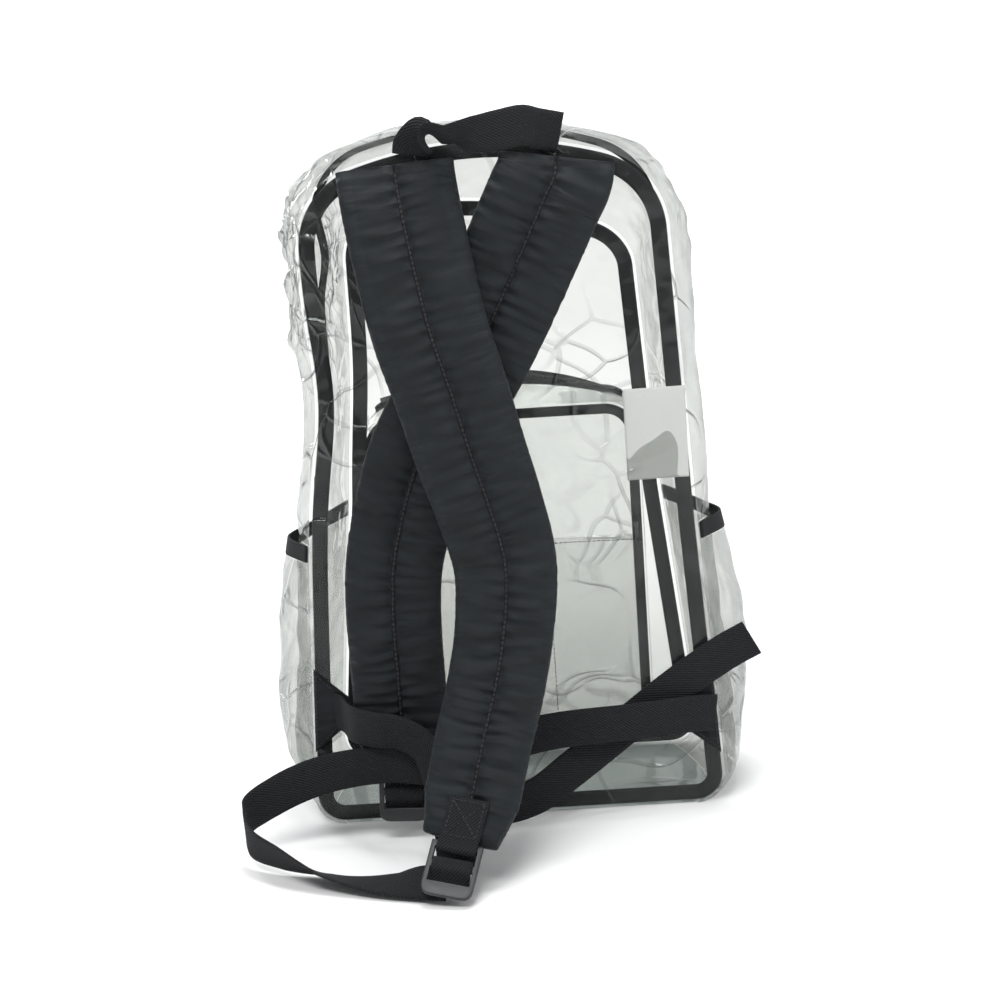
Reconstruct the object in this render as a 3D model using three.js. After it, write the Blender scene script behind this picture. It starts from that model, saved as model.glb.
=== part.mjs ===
// Clear stadium backpack, standing on its flat bottom with the shoulder straps towards -Y.
// Millimetres, +Z up, +X to the wearer's right as seen from the strap side.
import * as THREE from 'three';

// Driving sizes of the bag
const bagWidth = 276; // seam to seam across the foot of the back panel
const bagHeight = 450; // floor to the top seam of the back panel
const bagDepth = 124; // back panel to front panel
const vinyl = 1.2;
const clearance = 0.3; // between neighbouring pieces
const backPanelSwell = 3;
const frontPanelSwell = 5;
const backCornerRadius = 56;
const topCrown = 12; // rise of the top edge between its corners
const footRadius = 20;
const sideBandHeight = 194; // floor to the top edge of the side pockets

// Driving sizes of the trim
const bindingWidth = 10;
const bindingThickness = 1.6;
const zipperTape = 1.1;
const zipperCoil = 1.6;
const sideBindingHeight = 11;
const sidePocketSwell = 15;
const sliderWidth = 7.2;

// Driving sizes of the front pocket
const pocketWidth = 196;
const pocketHeight = 254;
const pocketDepth = 24;
const pocketCrown = 15;
const pocketRise = 8; // the arch of its zipper stands this much above its seam
const pocketCornerRadius = 24;
const pocketZipperWidth = 9;
const pocketBindingWidth = 7;
const organizerHeight = 142;
const organizerVinyl = 0.8;

// Driving sizes of the straps and their hardware
const strapWidth = 72;
const strapThickness = 13;
const strapReach = 130; // how far the long strap end stands out from the back panel
const webbingWidth = 25;
const webbingThickness = 1.6;
const lockHeight = 36;
const lockThickness = 3.2;
const lockBar = 4.5;
const lockDrop = 3; // strap end to its lock
const lockForward = 4; // the lock stands this much in front of the strap's middle
const labelWidth = 40;
const labelHeight = 60;
const labelThickness = 0.5;
const tabReach = 24; // corner tab, seam to point
const tabHeight = 58;
const tabThickness = 1.2;

const backY = -bagDepth / 2;
const frontY = bagDepth / 2;

// Outline of the bag from the back seam (at 0) to the front seam (at 1).
// top, band and foot are half widths as shares of half the bag width; height is a share of bagHeight.
const sections = [
  { at: 0.0, top: 0.865, band: 0.925, foot: 1.0, height: 1.0, corner: 1.0 },
  { at: 0.25, top: 0.945, band: 0.995, foot: 1.075, height: 1.021, corner: 1.08 },
  { at: 0.52, top: 0.815, band: 0.905, foot: 1.06, height: 1.01, corner: 0.9 },
  { at: 0.78, top: 0.765, band: 0.84, foot: 1.0, height: 0.965, corner: 0.75 },
  { at: 1.0, top: 0.735, band: 0.8, foot: 0.93, height: 0.893, corner: 0.65 },
];

// Where the main zipper runs, as shares of the depth
const zipperFrom = 0.48;
const zipperTo = 0.56;

// Places round the outline: 0 is the middle of the top, 1 the middle of the floor
const stops = { topEnd: 0.22, cornerEnd: 0.38, band: 0.62, footStart: 0.84, footEnd: 0.91 };

// Soft bends of the walls: side, height and spread as shares of bagHeight, push as a share of
// bagDepth (outwards positive), and seam 1 where the seams bend as well.
const wallBends = [
  { side: -1, height: 0.64, spread: 0.13, push: -0.07, seam: 1 },
  { side: -1, height: 0.83, spread: 0.05, push: -0.05, seam: 0 },
  { side: -1, height: 0.1, spread: 0.14, push: 0.06, seam: 0 },
  { side: 1, height: 0.7, spread: 0.16, push: 0.03, seam: 0 },
  { side: 1, height: 0.24, spread: 0.1, push: 0.03, seam: 0 },
];
const frontDroop = 16; // the front seam sags towards the right at its top corner
const crownReach = 0.7; // share of a corner's radius left outside the top's crown
const seamHold = 0.6; // how much less the front seam bends than the back one

const sewnShare = 0.6; // thickness of a strap where it is sewn in, as a share of the padded one
const sewnEnd = 0.04; // how far along the strap that reaches

// Seats against the back panel, as shares of strapReach
const webbingSeat = (webbingThickness / 2 + 3 * clearance) / strapReach;
const tabSeat = (tabThickness + webbingThickness / 2 + 4 * clearance) / strapReach;
const strapSeat = ((sewnShare * strapThickness) / 2 + 5 * clearance) / strapReach;

// Strap routes. across is a share of half the bag width, out a share of strapReach from the
// back panel, up a share of bagHeight, width a share of strapWidth.
const leftStrapRoute = [
  { across: -0.372, out: strapSeat, up: 0.972, width: 1.04 },
  { across: -0.366, out: 0.07, up: 0.945, width: 1.04 },
  { across: -0.336, out: 0.15, up: 0.88, width: 1.04 },
  { across: -0.258, out: 0.25, up: 0.746, width: 1.02 },
  { across: -0.184, out: 0.29, up: 0.664, width: 1.0 },
  { across: -0.105, out: 0.33, up: 0.568, width: 0.98 },
  { across: -0.046, out: 0.36, up: 0.504, width: 0.95 },
  { across: 0.013, out: 0.4, up: 0.417, width: 0.91 },
  { across: -0.012, out: 0.475, up: 0.323, width: 0.87 },
  { across: -0.069, out: 0.57, up: 0.247, width: 0.86 },
  { across: -0.13, out: 0.67, up: 0.189, width: 0.85 },
  { across: -0.198, out: 0.81, up: 0.118, width: 0.84 },
  { across: -0.262, out: 0.923, up: 0.067, width: 0.66 },
];
const rightStrapRoute = [
  { across: 0.366, out: strapSeat, up: 0.968, width: 1.02 },
  { across: 0.35, out: 0.07, up: 0.943, width: 1.02 },
  { across: 0.3, out: 0.085, up: 0.915, width: 1.02 },
  { across: 0.219, out: 0.092, up: 0.867, width: 1.02 },
  { across: 0.035, out: 0.092, up: 0.757, width: 1.0 },
  { across: -0.111, out: 0.1, up: 0.679, width: 0.98 },
  { across: -0.22, out: 0.11, up: 0.63, width: 0.96 },
  { across: -0.352, out: 0.13, up: 0.56, width: 0.94 },
  { across: -0.44, out: 0.15, up: 0.491, width: 0.9 },
  { across: -0.511, out: 0.18, up: 0.406, width: 0.87 },
  { across: -0.528, out: 0.21, up: 0.345, width: 0.86 },
  { across: -0.53, out: 0.23, up: 0.286, width: 0.85 },
  { across: -0.528, out: 0.243, up: 0.22, width: 0.85 },
  { across: -0.53, out: 0.25, up: 0.158, width: 0.84 },
  { across: -0.536, out: 0.25, up: 0.118, width: 0.66 },
];

// Webbing routes in the same shares. blade is the direction of the webbing's width, as parts
// along across, out and up.
const leftFixedRun = [
  { across: -0.86, out: tabSeat, up: 0.18, blade: [0, 0, 1] },
  { across: -0.82, out: 0.1, up: 0.182, blade: [0, 0, 1] },
  { across: -0.76, out: 0.29, up: 0.184, blade: [0, 0, 1] },
  { across: -0.66, out: 0.37, up: 0.182, blade: [0, 0.1, 1] },
  { across: -0.53, out: 0.41, up: 0.178, blade: [0, 0.2, 1] },
  { across: -0.42, out: 0.47, up: 0.16, blade: [0.3, 0.2, 1] },
  { across: -0.33, out: 0.6, up: 0.1, blade: [0.8, 0.1, 0.5] },
  { across: -0.29, out: 0.77, up: 0.06, blade: [1, 0, 0.1] },
];
const leftTail = [
  { across: -0.46, out: 0.99, up: 0.02, blade: [0, 1, -0.5] },
  { across: -0.58, out: 0.94, up: 0.014, blade: [0, 1, -0.1] },
  { across: -0.72, out: 0.88, up: 0.012, blade: [0.1, 1, 0.1] },
  { across: -0.9, out: 0.8, up: 0.017, blade: [0, 1, 0.35] },
  { across: -1.1, out: 0.7, up: 0.033, blade: [0, 0.7, 1] },
  { across: -1.26, out: 0.55, up: 0.046, blade: [0, 0.2, 1] },
  { across: -1.27, out: 0.4, up: 0.066, blade: [0, 0, 1] },
  { across: -1.13, out: 0.32, up: 0.088, blade: [0, -0.1, 1] },
  { across: -0.95, out: 0.3, up: 0.108, blade: [0, -0.2, 1] },
  { across: -0.77, out: 0.318, up: 0.12, blade: [0, -0.1, 1] },
  { across: -0.6, out: 0.335, up: 0.124, blade: [0, 0, 1] },
  { across: -0.42, out: 0.36, up: 0.12, blade: [0, 0, 1] },
  { across: -0.26, out: 0.37, up: 0.118, blade: [0, 0, 1] },
];
const rightFixedRun = [
  { across: 0.965, out: tabSeat, up: 0.142, blade: [0, 0, 1] },
  { across: 0.88, out: 0.06, up: 0.146, blade: [0, 0, 1] },
  { across: 0.6, out: 0.135, up: 0.147, blade: [0, 0, 1] },
  { across: 0.137, out: 0.18, up: 0.142, blade: [0, 0, 1] },
  { across: -0.1, out: 0.165, up: 0.122, blade: [0, 0, 1] },
  { across: -0.3, out: 0.12, up: 0.09, blade: [0.3, 0, 1] },
  { across: -0.45, out: 0.1, up: 0.08, blade: [0.8, 0, 0.8] },
];
const rightTail = [
  { across: -0.38, out: 0.215, up: 0.055, blade: [0, 0, 1] },
  { across: -0.25, out: 0.225, up: 0.045, blade: [0, 0, 1] },
  { across: -0.1, out: 0.235, up: 0.038, blade: [0, 0, 1] },
  { across: 0.08, out: 0.19, up: 0.047, blade: [-0.3, 0, 1] },
  { across: 0.263, out: 0.115, up: 0.078, blade: [-0.6, 0, 1] },
  { across: 0.55, out: 0.05, up: 0.137, blade: [-0.6, 0, 1] },
  { across: 0.801, out: 0.035, up: 0.192, blade: [-0.6, 0, 1] },
  { across: 1.021, out: 0.045, up: 0.236, blade: [-0.55, 0, 1] },
  { across: 1.151, out: 0.055, up: 0.257, blade: [-0.5, 0, 1] },
];
const handleRoute = [
  { across: -0.29, out: webbingSeat, up: 0.983, blade: [1, 0, 0] },
  { across: -0.28, out: 0.025, up: 0.998, blade: [1, 0.1, 0.1] },
  { across: -0.21, out: 0.08, up: 1.013, blade: [0.8, 0.8, 0.2] },
  { across: -0.11, out: 0.125, up: 1.01, blade: [0.1, 1, 0.5] },
  { across: 0.0, out: 0.15, up: 1.008, blade: [0, 0.4, 1] },
  { across: 0.11, out: 0.15, up: 1.012, blade: [-0.2, 0.1, 1] },
  { across: 0.22, out: 0.115, up: 1.016, blade: [-0.1, 0, 1] },
  { across: 0.29, out: 0.05, up: 1.009, blade: [0, 0, 1] },
  { across: 0.35, out: webbingSeat, up: 1.004, blade: [0, 0, 1] },
  { across: 0.39, out: webbingSeat, up: 1.001, blade: [0, 0, 1] },
];

const colours = {
  vinyl: { color: 0xd6dbd8, roughness: 0.12, transparent: true, opacity: 0.35 },
  binding: { color: 0x15171a, roughness: 0.75 },
  zipper: { color: 0x1c1e21, roughness: 0.6 },
  strap: { color: 0x1f2629, roughness: 0.8 },
  webbing: { color: 0x111316, roughness: 0.85 },
  plastic: { color: 0x1a1c1f, roughness: 0.45 },
  label: { color: 0xbec0bc, roughness: 0.7 },
};

function vec(x, y, z) {
  return new THREE.Vector3(x, y, z);
}

// Smooth value of one column of the sections table at a share of the depth
function sectionValue(column, share) {
  let row = 0;
  while (row < sections.length - 2 && share > sections[row + 1].at) {
    row += 1;
  }
  const before = sections[Math.max(row - 1, 0)];
  const from = sections[row];
  const to = sections[row + 1];
  const after = sections[Math.min(row + 2, sections.length - 1)];
  const length = to.at - from.at;
  const t = (share - from.at) / length;
  const leave = ((to[column] - before[column]) / (to.at - before.at)) * length;
  const arrive = ((after[column] - from[column]) / (after.at - from.at)) * length;
  const ease = t * t * (3 - 2 * t);
  const startPull = t * (1 - t) * (1 - t) * leave;
  const endPull = t * t * (1 - t) * arrive;
  return from[column] * (1 - ease) + to[column] * ease + startPull - endPull;
}

// Bend of a wall along X at a height, at a share of the depth
function bend(side, z, share) {
  const free = Math.sin(Math.PI * share);
  let push = 0;
  for (const row of wallBends) {
    if (row.side === side) {
      const away = (z / bagHeight - row.height) / row.spread;
      const hold = row.seam ? 1 - seamHold * share : free;
      push += row.push * bagDepth * hold * Math.exp(-away * away);
    }
  }
  return side * push;
}

// Point of the bag's outer surface: round is -1 to 1 (left floor, top, right floor), share the
// depth, and inset shrinks the outline inwards.
function wallPoint(round, share, inset = 0) {
  const side = round < 0 ? -1 : 1;
  const place = Math.abs(round);
  const halfFoot = (sectionValue('foot', share) * bagWidth) / 2 - inset;
  const halfBand = (sectionValue('band', share) * bagWidth) / 2 - inset;
  const halfTop = (sectionValue('top', share) * bagWidth) / 2 - inset;
  const top = sectionValue('height', share) * bagHeight - inset;
  const radius = sectionValue('corner', share) * backCornerRadius - inset;
  const foot = footRadius - inset;
  const lean = Math.atan((2 * topCrown) / (halfTop - crownReach * radius));
  const crownHalf = halfTop - radius + radius * Math.sin(lean);
  const cornerZ = top - topCrown - radius * Math.cos(lean);
  let x = 0;
  let z = 0;
  if (place <= stops.topEnd) {
    const t = place / stops.topEnd;
    x = crownHalf * t;
    z = top - topCrown * t * t;
  } else if (place <= stops.cornerEnd) {
    const t = (place - stops.topEnd) / (stops.cornerEnd - stops.topEnd);
    const angle = lean + t * (Math.PI / 2 - lean);
    x = halfTop - radius + radius * Math.sin(angle);
    z = cornerZ + radius * Math.cos(angle);
  } else if (place <= stops.band) {
    const t = (place - stops.cornerEnd) / (stops.band - stops.cornerEnd);
    x = halfTop + (halfBand - halfTop) * t;
    z = cornerZ + (sideBandHeight - cornerZ) * t;
  } else if (place <= stops.footStart) {
    const t = (place - stops.band) / (stops.footStart - stops.band);
    x = halfBand + (halfFoot - halfBand) * t;
    z = sideBandHeight + (footRadius - sideBandHeight) * t;
  } else if (place <= stops.footEnd) {
    const angle = (((place - stops.footStart) / (stops.footEnd - stops.footStart)) * Math.PI) / 2;
    x = halfFoot - foot + foot * Math.cos(angle);
    z = footRadius - foot * Math.sin(angle);
  } else {
    x = ((halfFoot - foot) * (1 - place)) / (1 - stops.footEnd);
    z = inset;
  }
  const fade = Math.min(1, Math.max(0, z - footRadius) / footRadius);
  const sag = (frontDroop * share * share * side * x * (z / bagHeight) ** 3) / halfTop;
  return vec(side * x + fade * bend(side, z, share), backY + share * bagDepth, z - sag);
}

// Outward direction of the bag's surface
function wallNormal(round, share) {
  const step = 0.004;
  const low = Math.max(share - step, 0);
  const high = Math.min(share + step, 1);
  const along = wallPoint(round + step, share).sub(wallPoint(round - step, share));
  const across = wallPoint(round, high).sub(wallPoint(round, low));
  return along.cross(across).normalize();
}

// One closed solid from points and triangles, turned so that its faces look outwards
function closedSolid(points, triangles) {
  let volume = 0;
  for (const [a, b, c] of triangles) {
    volume += points[a].dot(points[b].clone().cross(points[c]));
  }
  const geometry = new THREE.BufferGeometry();
  geometry.setAttribute('position', new THREE.Float32BufferAttribute(
    points.flatMap((point) => [point.x, point.y, point.z]), 3));
  geometry.setIndex(triangles.flatMap(([a, b, c]) => (volume > 0 ? [a, b, c] : [a, c, b])));
  geometry.computeVertexNormals();
  return geometry;
}

// A sheet from an outer and an inner grid of points, closed along its four edges
function sheet(outer, inner) {
  const rows = outer.length;
  const columns = outer[0].length;
  const points = [...outer.flat(), ...inner.flat()];
  const half = rows * columns;
  const triangles = [];
  const quad = (a, b, c, d) => triangles.push([a, b, c], [a, c, d]);
  for (let row = 0; row < rows - 1; row += 1) {
    for (let column = 0; column < columns - 1; column += 1) {
      const at = row * columns + column;
      quad(at, at + 1, at + columns + 1, at + columns);
      quad(half + at, half + at + columns, half + at + columns + 1, half + at + 1);
    }
  }
  for (let column = 0; column < columns - 1; column += 1) {
    const last = (rows - 1) * columns + column;
    quad(column, half + column, half + column + 1, column + 1);
    quad(last, last + 1, half + last + 1, half + last);
  }
  for (let row = 0; row < rows - 1; row += 1) {
    const from = row * columns;
    const to = from + columns - 1;
    quad(from, from + columns, half + from + columns, half + from);
    quad(to, half + to, half + to + columns, to + columns);
  }
  return closedSolid(points, triangles);
}

// A bar from rings of points, closed at both ends or, with joined true, end to end
function loft(rings, joined = false) {
  const count = rings[0].length;
  const points = rings.flat();
  const triangles = [];
  const last = joined ? rings.length : rings.length - 1;
  for (let ring = 0; ring < last; ring += 1) {
    const from = ring * count;
    const to = ((ring + 1) % rings.length) * count;
    for (let k = 0; k < count; k += 1) {
      const next = (k + 1) % count;
      triangles.push([from + k, from + next, to + next], [from + k, to + next, to + k]);
    }
  }
  if (!joined) {
    const end = (rings.length - 1) * count;
    for (let k = 1; k < count - 1; k += 1) {
      triangles.push([0, k + 1, k]);
      triangles.push([end, end + k, end + k + 1]);
    }
  }
  return closedSolid(points, triangles);
}

function steps(from, to, count) {
  return Array.from({ length: count }, (_, k) => from + ((to - from) * k) / count);
}

// Places from the middle of the top down to one stop, on the right side
const topRun = [
  ...steps(0, stops.topEnd, 3), ...steps(stops.topEnd, stops.cornerEnd, 5),
  ...steps(stops.cornerEnd, stops.band, 6), stops.band];
const footRun = [...steps(stops.footStart, stops.footEnd, 4), stops.footEnd];
const lowerSide = steps(stops.band, stops.footStart, 6);
const wholeRun = [...topRun.slice(0, -1), ...lowerSide, ...footRun];

function mirrored(run) {
  return [...run.slice(1).reverse().map((place) => -place), ...run];
}

// A strip of the bag's wall between two shares of the depth, over a run of places
function wallStrip(run, fromShare, toShare, rows) {
  const outer = [];
  const inner = [];
  for (let row = 0; row <= rows; row += 1) {
    const share = fromShare + ((toShare - fromShare) * row) / rows;
    const edge = run.map((place) => wallPoint(place, share));
    outer.push(edge);
    inner.push(edge.map((point, k) => point.clone().addScaledVector(
      wallNormal(run[k], share), -vinyl)));
  }
  return sheet(outer, inner);
}

// How far a panel swells at a place, as a share of its full swell
function swellShare(x, z, share) {
  const across = (2 * x) / (bagWidth * sectionValue('band', share));
  const up = (2 * z) / (bagHeight * sectionValue('height', share)) - 1;
  return Math.max(0, 1 - across * across) * Math.max(0, 1 - up * up);
}

function backFace(x, z) {
  return backY - backPanelSwell * swellShare(x, z, 0);
}

function frontFace(x, z) {
  return frontY + frontPanelSwell * swellShare(x, z, 1);
}

// A panel from its outline towards its middle, with a face that gives y at any place
function panel(outline, face, thickness) {
  const middle = outline.reduce((sum, point) => sum.add(point), vec(0, 0, 0));
  middle.divideScalar(outline.length);
  const shares = [1, 0.75, 0.5, 0.25];
  const front = [];
  for (const share of shares) {
    for (const point of outline) {
      const place = point.clone().lerp(middle, 1 - share);
      front.push(vec(place.x, face(place.x, place.z), place.z));
    }
  }
  front.push(vec(middle.x, face(middle.x, middle.z), middle.z));
  const points = [...front, ...front.map((point) => vec(point.x, point.y + thickness, point.z))];
  const count = outline.length;
  const half = front.length;
  const triangles = [];
  const both = (a, b, c) => triangles.push([a, b, c], [half + a, half + c, half + b]);
  for (let ring = 0; ring < shares.length - 1; ring += 1) {
    for (let k = 0; k < count; k += 1) {
      const next = (k + 1) % count;
      const at = ring * count;
      both(at + k, at + next, at + count + next);
      both(at + k, at + count + next, at + count + k);
    }
  }
  for (let k = 0; k < count; k += 1) {
    const next = (k + 1) % count;
    both((shares.length - 1) * count + k, (shares.length - 1) * count + next, half - 1);
    triangles.push([k, half + k, half + next], [k, half + next, next]);
  }
  return closedSolid(points, triangles);
}

// Outline of a panel that sits inside the wall at one seam
function seamOutline(share, inset) {
  return mirrored(wholeRun).map((place) => wallPoint(place, share, inset));
}

// The flat black tape that binds a seam on its inner side
function seamBinding(share, towards, offset) {
  const face = share === 0 ? backFace : frontFace;
  const bindingInset = vinyl + 3 * clearance;
  const outerEdge = seamOutline(share, bindingInset);
  const innerEdge = seamOutline(share, bindingInset + bindingWidth);
  const rings = outerEdge.map((point, k) => {
    const inside = innerEdge[k];
    const near = (place) => face(place.x, place.z) + towards * offset;
    const far = (place) => near(place) + towards * bindingThickness;
    return [
      vec(point.x, near(point), point.z), vec(inside.x, near(inside), inside.z),
      vec(inside.x, far(inside), inside.z), vec(point.x, far(point), point.z)];
  });
  return loft(rings, true);
}

// Section of a zipper: flat tape with the raised coil along its middle. across is a share of
// half the tape's width, up in millimetres.
const zipperSection = [
  { across: -1, up: 0 }, { across: -0.34, up: 0 }, { across: -0.24, up: zipperCoil },
  { across: 0.24, up: zipperCoil }, { across: 0.34, up: 0 }, { across: 1, up: 0 },
  { across: 1, up: -zipperTape }, { across: -1, up: -zipperTape }];

function zipperRing(from, to, normal) {
  const half = to.clone().sub(from).multiplyScalar(0.5);
  const middle = from.clone().add(half);
  return zipperSection.map(({ across, up }) => middle.clone().addScaledVector(half, across)
    .addScaledVector(normal, up));
}

const zipperMiddle = (zipperFrom + zipperTo) / 2;

function mainZipper() {
  const gapShare = clearance / bagDepth;
  const rings = mirrored(topRun).map((place) => zipperRing(
    wallPoint(place, zipperFrom + gapShare), wallPoint(place, zipperTo - gapShare),
    wallNormal(place, zipperMiddle)));
  return loft(rings);
}

// Front pocket: its outline on the front panel, with a rounded arch across the top
function pocketOutline(inset, height, crown) {
  const half = pocketWidth / 2 - inset;
  const low = vinyl + clearance + footRadius / 2 + inset;
  const radius = pocketCornerRadius - inset;
  const points = [[half, low]];
  for (const t of steps(0, 1, 4)) {
    points.push([half, low + (height - radius - low) * (t + 0.25)]);
  }
  for (let k = 1; k <= 5; k += 1) {
    const angle = (k / 5) * (Math.PI / 2);
    points.push([
      half - radius + radius * Math.cos(angle), height - radius + radius * Math.sin(angle)]);
  }
  for (const t of [0.75, 0.5, 0.25, 0]) {
    points.push([(half - radius) * t, height + crown * (1 - t * t)]);
  }
  const left = points.slice(0, -1).reverse().map(([x, z]) => [-x, z]);
  return [...points, ...left];
}

// One place of the pocket's wall: depth 0 at the front panel, 1 at the pocket's own front
function pocketPoint(k, depth, inset = 0) {
  const base = pocketOutline(inset, pocketHeight - inset, 0)[k];
  const arch = pocketOutline(inset, pocketHeight + pocketRise - inset, pocketCrown)[k];
  const x = base[0] + (arch[0] - base[0]) * depth;
  const z = base[1] + (arch[1] - base[1]) * depth;
  return vec(x, frontFace(x, z) + clearance + pocketDepth * depth, z);
}

function pocketNormal(k, depth) {
  const count = pocketOutline(0, pocketHeight, 0).length;
  const before = pocketPoint(Math.max(k - 1, 0), depth);
  const after = pocketPoint(Math.min(k + 1, count - 1), depth);
  const across = pocketPoint(k, 1).sub(pocketPoint(k, 0));
  return across.cross(after.sub(before)).normalize();
}

const pocketCount = pocketOutline(0, pocketHeight, 0).length;
const archStart = 6; // first and last place of the pocket's zipper, counted along the outline
const archEnd = pocketCount - 1 - archStart;
const pocketZipperShare = 1 - pocketZipperWidth / pocketDepth;

function pocketGusset() {
  const outer = [[], [], []];
  const inner = [[], [], []];
  const gapShare = clearance / pocketDepth;
  for (let k = 0; k < pocketCount; k += 1) {
    const zipped = k >= archStart && k <= archEnd;
    const reach = zipped ? pocketZipperShare - gapShare : 1;
    [0, reach / 2, reach].forEach((depth, row) => {
      const point = pocketPoint(k, depth);
      outer[row].push(point);
      inner[row].push(point.clone().addScaledVector(pocketNormal(k, depth), -vinyl));
    });
  }
  return sheet(outer, inner);
}

function pocketZipper() {
  const rings = [];
  for (let k = archStart + 1; k <= archEnd - 1; k += 1) {
    rings.push(zipperRing(pocketPoint(k, pocketZipperShare), pocketPoint(k, 1), pocketNormal(k, 1)));
  }
  return loft(rings);
}

function pocketPanel() {
  const inset = 2 * vinyl + 3 * clearance;
  const outline = [];
  for (let k = 0; k < pocketCount; k += 1) {
    outline.push(pocketPoint(k, 1, inset));
  }
  const face = (x, z) => frontFace(x, z) + clearance + pocketDepth - vinyl;
  return panel(outline, face, vinyl);
}

function organizer() {
  const half = pocketWidth / 2 - vinyl - 2 * clearance;
  const low = 2 * vinyl + 2 * clearance + footRadius / 2;
  const high = low + organizerHeight;
  const outline = [[half, low], [half, high], [0, high], [-half, high], [-half, low], [0, low]];
  const outset = clearance + pocketDepth / 3;
  return panel(
    outline.map(([x, z]) => vec(x, 0, z)), (x, z) => frontFace(x, z) + outset, organizerVinyl);
}

// The pocket's floor, closing it below its two walls
function pocketBase() {
  const high = vinyl + footRadius / 2;
  const rows = [0, 0.5, 1].map((depth) => [-1, -0.5, 0, 0.5, 1].map((t) => {
    const x = (t * pocketWidth) / 2;
    return vec(x, frontFace(x, high) + clearance + pocketDepth * depth, high);
  }));
  return sheet(rows, rows.map((line) => line.map((point) => vec(point.x, point.y, high - vinyl))));
}

// The black seam line of the pocket on the front panel
function pocketBinding() {
  const outsideInset = vinyl + 2 * clearance;
  const insideInset = outsideInset + pocketBindingWidth;
  const outside = pocketOutline(outsideInset, pocketHeight - outsideInset, 0);
  const inside = pocketOutline(insideInset, pocketHeight - insideInset, 0);
  const seat = ([x, z], lift) => vec(x, frontFace(x, z) + clearance + lift, z);
  return loft(outside.map((edge, k) => [
    seat(edge, 0), seat(inside[k], 0), seat(inside[k], bindingThickness),
    seat(edge, bindingThickness)]));
}

const depthRows = 8; // rows of the side walls from back to front

// Side pocket: a loose sheet over the lower side wall, open at the top. It still stands off the
// wall at its open edge, because the swell is cut there.
const swellCut = 0.82;

function sidePocketSwellAt(z, share) {
  const up = (z - footRadius) / (sideBandHeight - footRadius);
  return sidePocketSwell * Math.sin(Math.PI * share) * Math.sin(swellCut * Math.PI * up);
}

function sidePocketSheet(side, places, thickness) {
  const edgeShare = clearance / bagDepth;
  const outer = [];
  const inner = [];
  for (const place of places) {
    const line = [];
    for (let row = 0; row <= depthRows; row += 1) {
      const share = edgeShare + ((1 - 2 * edgeShare) * row) / depthRows;
      const point = wallPoint(side * place, share);
      point.x += side * (clearance * 2 + thickness + sidePocketSwellAt(point.z, share));
      line.push(point);
    }
    outer.push(line);
    inner.push(line.map((point) => vec(point.x - side * thickness, point.y, point.z)));
  }
  return sheet(outer, inner);
}

// A strap or webbing: an even or padded section swept along a route
function routePoint(row) {
  return vec((row.across * bagWidth) / 2, backY - row.out * strapReach, row.up * bagHeight);
}

function smoothRoute(points, blades, count) {
  const curve = new THREE.CatmullRomCurve3(points, false, 'centripetal');
  const stations = [];
  for (let k = 0; k <= count; k += 1) {
    const t = k / count;
    const place = t * (points.length - 1);
    const row = Math.min(Math.floor(place), points.length - 2);
    const blade = blades[row].clone().lerp(blades[row + 1], place - row);
    const tangent = curve.getTangent(t);
    blade.addScaledVector(tangent, -blade.dot(tangent)).normalize();
    const normal = tangent.clone().cross(blade);
    stations.push({ point: curve.getPoint(t), blade, normal, t });
  }
  return stations;
}

function ribbon(stations, width = webbingWidth, thickness = webbingThickness) {
  const rings = stations.map(({ point, blade, normal }) => {
    const corner = (across, up) => point.clone().addScaledVector(blade, across * width)
      .addScaledVector(normal, up * thickness);
    return [corner(-0.5, -0.5), corner(0.5, -0.5), corner(0.5, 0.5), corner(-0.5, 0.5)];
  });
  return loft(rings);
}

// Upper half of the padded section, with the stitched groove along its middle: across as a
// share of the width, up as a share of the thickness
const padProfile = [
  { across: -0.5, up: 0.1 }, { across: -0.46, up: 0.36 }, { across: -0.3, up: 0.5 },
  { across: -0.1, up: 0.44 }, { across: 0, up: 0.26 }, { across: 0.1, up: 0.44 },
  { across: 0.3, up: 0.5 }, { across: 0.46, up: 0.36 }, { across: 0.5, up: 0.1 }];
const strapSteps = 26;
const fixedSteps = 20;
const looseSteps = 28;

function strapStations(route) {
  const blades = route.map(() => vec(1, 0, 0));
  return smoothRoute(route.map(routePoint), blades, strapSteps);
}

function paddedStrap(route) {
  const widths = route.map((row) => row.width * strapWidth);
  const rings = strapStations(route).map(({ point, blade, normal, t }) => {
    const place = t * (route.length - 1);
    const row = Math.min(Math.floor(place), route.length - 2);
    const width = widths[row] + (widths[row + 1] - widths[row]) * (place - row);
    const thick = strapThickness * (t < sewnEnd ? sewnShare : 1);
    const corner = ({ across, up }) => point.clone().addScaledVector(blade, across * width)
      .addScaledVector(normal, up * thick);
    const back = padProfile.map(({ across, up }) => ({ across, up: -up })).reverse();
    return [...padProfile, ...back].map(corner);
  });
  return loft(rings);
}

// Frame of a ladder lock at a strap's end: down along the lock, out away from the bag
function lockFrame(route, tilt) {
  const stations = strapStations(route);
  const end = stations.at(-1).point;
  const down = end.clone().sub(stations.at(-3).point).normalize().add(vec(0, -tilt, 0)).normalize();
  const across = vec(1, 0, 0).addScaledVector(down, -down.x).normalize();
  const out = across.clone().cross(down).normalize();
  if (out.y > 0) out.negate();
  const origin = end.clone().addScaledVector(down, lockDrop).addScaledVector(out, lockForward);
  return { origin, down, across, out };
}

const slotHeight = lockHeight / 4;
const lipHeight = lockHeight - 2 * slotHeight - 2 * lockBar;
const lipRounding = 0.8;
const besideLock = lockThickness / 2 + webbingThickness / 2 + 2 * clearance;

function lockPlace(frame, down, out) {
  return frame.origin.clone().addScaledVector(frame.down, down).addScaledVector(frame.out, out);
}

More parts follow.
